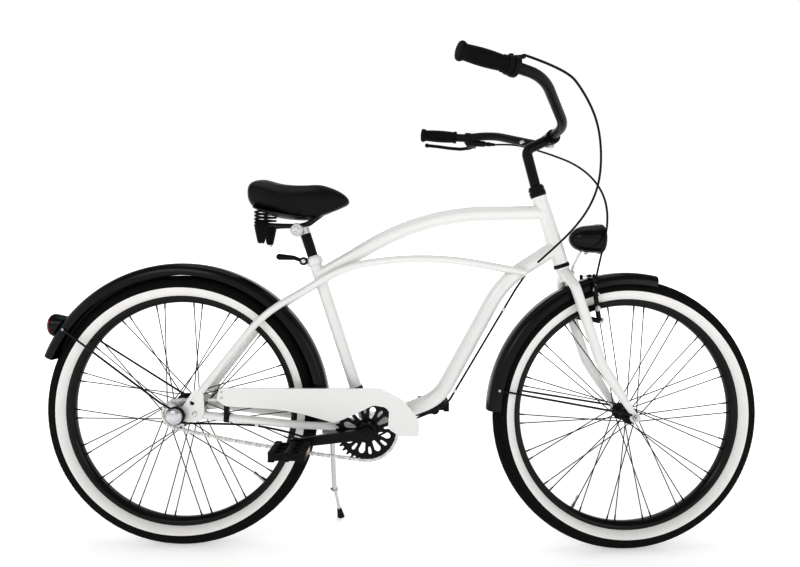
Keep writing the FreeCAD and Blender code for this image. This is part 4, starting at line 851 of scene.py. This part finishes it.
CLICK = Vector((9, -76, 4))
bm = bmesh.new()
turned(bm, [(0, 0), (21.0, 0), (22.0, 1.5), (22.0, 8), (21.0, 10.6), (19.6, 11.4), (0, 11.4)], CLICK, (0, -1,
                                                                                                       0), steps=48)
finish_piece("gear_box_base", bm, BIKE, "frame", "black_plastic", ["gear_click_box"])
bm = bmesh.new()
turned(bm, [(0, 11.2), (19.2, 11.2), (19.4, 14.0), (18.2, 17.0), (15.0, 19.6), (10.0, 21.3), (4.0, 21.9), (0,
                                                                                                           22)], CLICK,
       (0, -1, 0), steps=48)
finish_piece("gear_box_cap", bm, BIKE, "frame", "aluminium")

# Pedals

CRANK = polar(1.0, 188.0)


def pedal(side):
    """two lugged tread bars, side plates, a barrel and the reflectors."""
    name = "right" if side < 0 else "left"
    at = BB + CRANK * (-170.0 * side) + Vector((0, side * 142.0, 0))
    bm = bmesh.new()
    for end in (-1, 1):
        block(bm, at + Vector((end * 33.5, 0, 0)), (13.4, 87, 14))
        block(bm, at + Vector((0, end * 41, 0)), (60, 5.4, 15.6))
        block(bm, at + Vector((0, end * 15.5, 0)), (56, 4, 12))
        for k in range(7):
            for top in (-1, 1):
                block(bm, at + Vector((end * 33.5, (k - 3) * 13.2, top * 8.8)), (14.4, 7.6, 5.0))
    soften(bm, 0.9, segments=2)
    turned(bm, [(6.2, -43.5), (9.4, -43.5), (10.8, -42), (10.8, -30), (9.2, -27), (9.2, 27), (10.8, 30), (10.8, 42),
                (9.4, 43.5), (6.2, 43.5)], at, (0, 1, 0), steps=24, closed=True)
    finish_piece("pedal_cage_" + name, bm, BIKE, "pedal_" + name, "black_plastic", ["pedal_" + name], crease=0.4)
    bm = bmesh.new()
    for end in (-1, 1):
        block(bm, at + Vector((end * 40.4, 0, 0)), (1.6, 44, 10))
    soften(bm, 0.5, segments=1)
    finish_piece("pedal_reflectors_" + name, bm, BIKE, "pedal_" + name, "amber")


pedal(-1)
pedal(1)

# Cables: the shift cable's free loop, its run under the chain stay, and the brake cable
LOOP_ROUTE = [(-86, -272, 379), (-38, -240, 347), (7, -202, 300), (33, -164, 243), (44, -128, 181), (34, -100, 129),
              (7, -76, 82), (-31, -54, 39), (-69, -34, 1)]      # from the foot of the head tube
BRAKE_ROUTE = [(-65, 228, 349), (-26, 180, 327), (19, 126, 297), (63, 74, 263), (97, 34, 218), (110, -4, 165),
               (105, -34, 109), (91, -48, 54)]
AXLE = Vector((WHEELBASE, 0, 0))
ARM_TOP = AXLE + polar(313.0, 107.5, -40.5)
HANGER = ARM_TOP + Vector((-3, 0, 6))
loop = [OUTLET_TIP] + [HEAD_LOW + Vector(p) for p in LOOP_ROUTE]
cable("shift_cable_housing", loop, STEERED, "steering", ["shift_cable_loop"],
      (tuple(STEERED @ loop[-2]), tuple(STEERED @ loop[3])))
brake = [BARREL_END] + [HEAD_LOW + Vector(p) for p in BRAKE_ROUTE] + [HANGER + Vector((6, -4, 46)), HANGER]
cable("brake_cable_housing", brake, STEERED, "steering", ["brake_cable"])
STAY_RUN = [(520, -4, -39), (478, -8, -66), (430, -22, -64), (370, -38, -58), (301, -48, -52), (270, -50, -40),
            (211, -54, -27), (178, -54, -22), (90, -58, -19), (32, -62, -18), (14, -76, -12)]
cable("stay_cable_housing", STAY_RUN, BIKE, "frame")
bm = bmesh.new()
for at, along in (((194, -54, -24.5), (1, 0, -0.15)), ((334, -43, -55), (1, 0.15, -0.1))):
    turned(bm, [(2.2, -4), (4.2, -4), (4.4, 0), (4.2, 4), (2.2, 4)], at, along, steps=20, closed=True)
finish_piece("stay_cable_clips", bm, BIKE, "frame", "white_rubber")
bm = bmesh.new()
for at in ((672, -4, 53), (790, -4, 256)):
    turned(bm, [(2.4, -4), (4.4, -4), (4.7, 0), (4.4, 4), (2.4, 4)], at, (0.502, 0, 0.865), steps=20, closed=True)
finish_piece("down_tube_clips", bm, BIKE, "frame", "white_rubber")

# Chain guard screws, and the clamp bolt of the stand's sliding foot
bm = bmesh.new()
for z in (44, 58):
    screw(bm, (112, -64, z), (0, -1, 0), 2.8, 1.8)
finish_piece("chain_guard_screws", bm, BIKE, "frame", "steel")
STAND_KNEE = Vector((368, 56, -205))
STAND_DOWN = Vector((0.065, 0.593, -0.803))
bm = bmesh.new()
bolt(bm, STAND_KNEE + STAND_DOWN * 19 + Vector((-6.6, 0, 0)), (-1, 0, 0), 7.0, 5.0)
finish_piece("stand_clamp_bolt", bm, BIKE, "kickstand", "steel")

# Brake bolts and the cable's end sleeve
bm = bmesh.new()
for side in (-1, 1):
    bolt(bm, AXLE + polar(246.0, 109.9, side * 40.5) + FORWARD * 5.0, FORWARD, 10.0, 6.0)
    bolt(bm, AXLE + polar(308.0, 107.6, side * 40.5) + FORWARD * 5.0, FORWARD, 7.0, 5.0)
    bolt(bm, AXLE + polar(276.0, 108.8, side * 45.6), (0, side, 0), 9.0, 6.0)
turned(bm, [(2.3, -2), (3.6, -2), (3.8, 2), (3.8, 14), (3.0, 15), (2.3, 15)], HANGER, Vector((6, -4, 46)), steps=20,
       closed=True)
finish_piece("brake_bolts", bm, STEERED, "steering", "steel")

bm = bmesh.new()
tops = [AXLE + polar(354.0, 106.0, side * 41.0) for side in (-1, 1)]
for side, top in zip((-1, 1), tops):
    bar(bm, AXLE + polar(311.0, 107.6, side * 40.5), top, 5.2, 4.2)
    bmesh.ops.create_icosphere(bm, subdivisions=2, radius=4.4, matrix=Matrix.Translation(top))
bar(bm, tops[0], tops[1], 1.2, sides=10)
turned(bm, [(0, 20), (3.2, 20), (4.0, 23), (3.2, 26), (4.0, 29), (3.2, 32), (4.0, 35), (3.0, 40), (0, 40)], tops[0],
       tops[1] - tops[0], steps=20)
finish_piece("brake_arm_tops", bm, STEERED, "steering", "satin_black")

# Screws of the fender stays
bm = bmesh.new()
for side in (-1, 1):
    screw(bm, polar(REAR_FENDER_R - 19, 144.5, side * (FENDER_HALF + 1.0)), (0, side, 0), 3.6, 3.4)
finish_piece("rear_stay_screws", bm, BIKE, "frame", "steel")
bm = bmesh.new()
for side in (-1, 1):
    screw(bm, AXLE + polar(FRONT_FENDER_R - 19, 169.0, side * (FENDER_HALF + 1.0)), (0, side, 0), 3.6, 3.4)
finish_piece("front_stay_screws", bm, STEERED, "steering", "steel")

# Crank caps
bm = bmesh.new()
for side in (-1, 1):
    turned(bm, [(0, 84), (10.5, 84), (10.5, 86), (8.8, 87.6), (5.0, 87.8), (4.6, 86.6), (0, 86.6)], BB, (0,
                                                                                                         side, 0),
           steps=32)
    foot = BB + CRANK * (-170.0 * side)
    turned(bm, [(6.4, 84.2), (9.0, 84.2), (9.0, 89), (6.4, 89)], foot, (0, side, 0), steps=6, closed=True)
finish_piece("crank_caps", bm, BIKE, "crankset", "satin_black")


# Floor and lights
FLOOR_SIZE = 30.0
bm = bmesh.new()
bmesh.ops.create_grid(bm, x_segments=1, y_segments=1, size=FLOOR_SIZE)
mesh = bpy.data.meshes.new("floor")
bm.to_mesh(mesh)
bm.free()
floor = bpy.data.objects.new("floor", mesh)
bpy.context.scene.collection.objects.link(floor)
pale = surface("pale_floor", (0.9, 0.9, 0.9), 0.7, mottle=0.005, scale=2, shine=0.1)
pale.node_tree.nodes["Principled BSDF"].inputs["Emission Color"].default_value = (1, 1, 1, 1)
nodes, links = pale.node_tree.nodes, pale.node_tree.links
where, far, glow = (nodes.new("ShaderNode" + kind) for kind in ("TexCoord", "VectorMath", "MapRange"))
far.operation = "LENGTH"
glow.inputs["From Min"].default_value = 0.9
glow.inputs["From Max"].default_value = 2.6
glow.inputs["To Min"].default_value = 0.48
glow.inputs["To Max"].default_value = 1.0
links.new(where.outputs["Object"], far.inputs[0])
links.new(far.outputs["Value"], glow.inputs["Value"])
links.new(glow.outputs["Result"], nodes["Principled BSDF"].inputs["Emission Strength"])
floor.data.materials.append(pale)


def soft_light(name, at, towards, size, power):
    light = bpy.data.lights.new(name, "AREA")
    light.shape = "RECTANGLE"
    light.size, light.size_y = size
    light.energy = power
    lamp = bpy.data.objects.new(name, light)
    bpy.context.scene.collection.objects.link(lamp)
    lamp.matrix_world = (Matrix.Translation(Vector(at))
                         @ (Vector(towards) - Vector(at)).to_track_quat("-Z", "Y").to_matrix().to_4x4())


soft_light("key", (-1.8, -2.6, 2.6), (0, 0, 0.5), (1.6, 1.2), 18)
soft_light("fill", (2.4, -2.4, 1.6), (0.2, 0, 0.5), (1.2, 1.6), 8)
soft_light("top", (0.0, 0.4, 3.2), (0, 0, 0.4), (3.0, 2.0), 22)
soft_light("back", (0.4, 3.0, 2.2), (0, 0, 0.6), (2.4, 1.2), 12)
world = bpy.data.worlds.new("studio")
world.use_nodes = True
nodes, links = world.node_tree.nodes, world.node_tree.links
where = nodes.new("ShaderNodeTexCoord")
height = nodes.new("ShaderNodeSeparateXYZ")
fade = nodes.new("ShaderNodeValToRGB")
fade.color_ramp.elements[0].position = 0.38
fade.color_ramp.elements[0].color = (1.0, 1.0, 1.0, 1)
fade.color_ramp.elements[1].position = 0.6
fade.color_ramp.elements[1].color = (0.25, 0.25, 0.25, 1)
links.new(where.outputs["Generated"], height.inputs["Vector"])
links.new(height.outputs["Z"], fade.inputs["Fac"])
links.new(fade.outputs["Color"], nodes["Background"].inputs["Color"])
bpy.context.scene.world = world
bpy.context.scene.view_settings.gamma = 0.82
bpy.context.scene.view_settings.view_transform = "Standard"
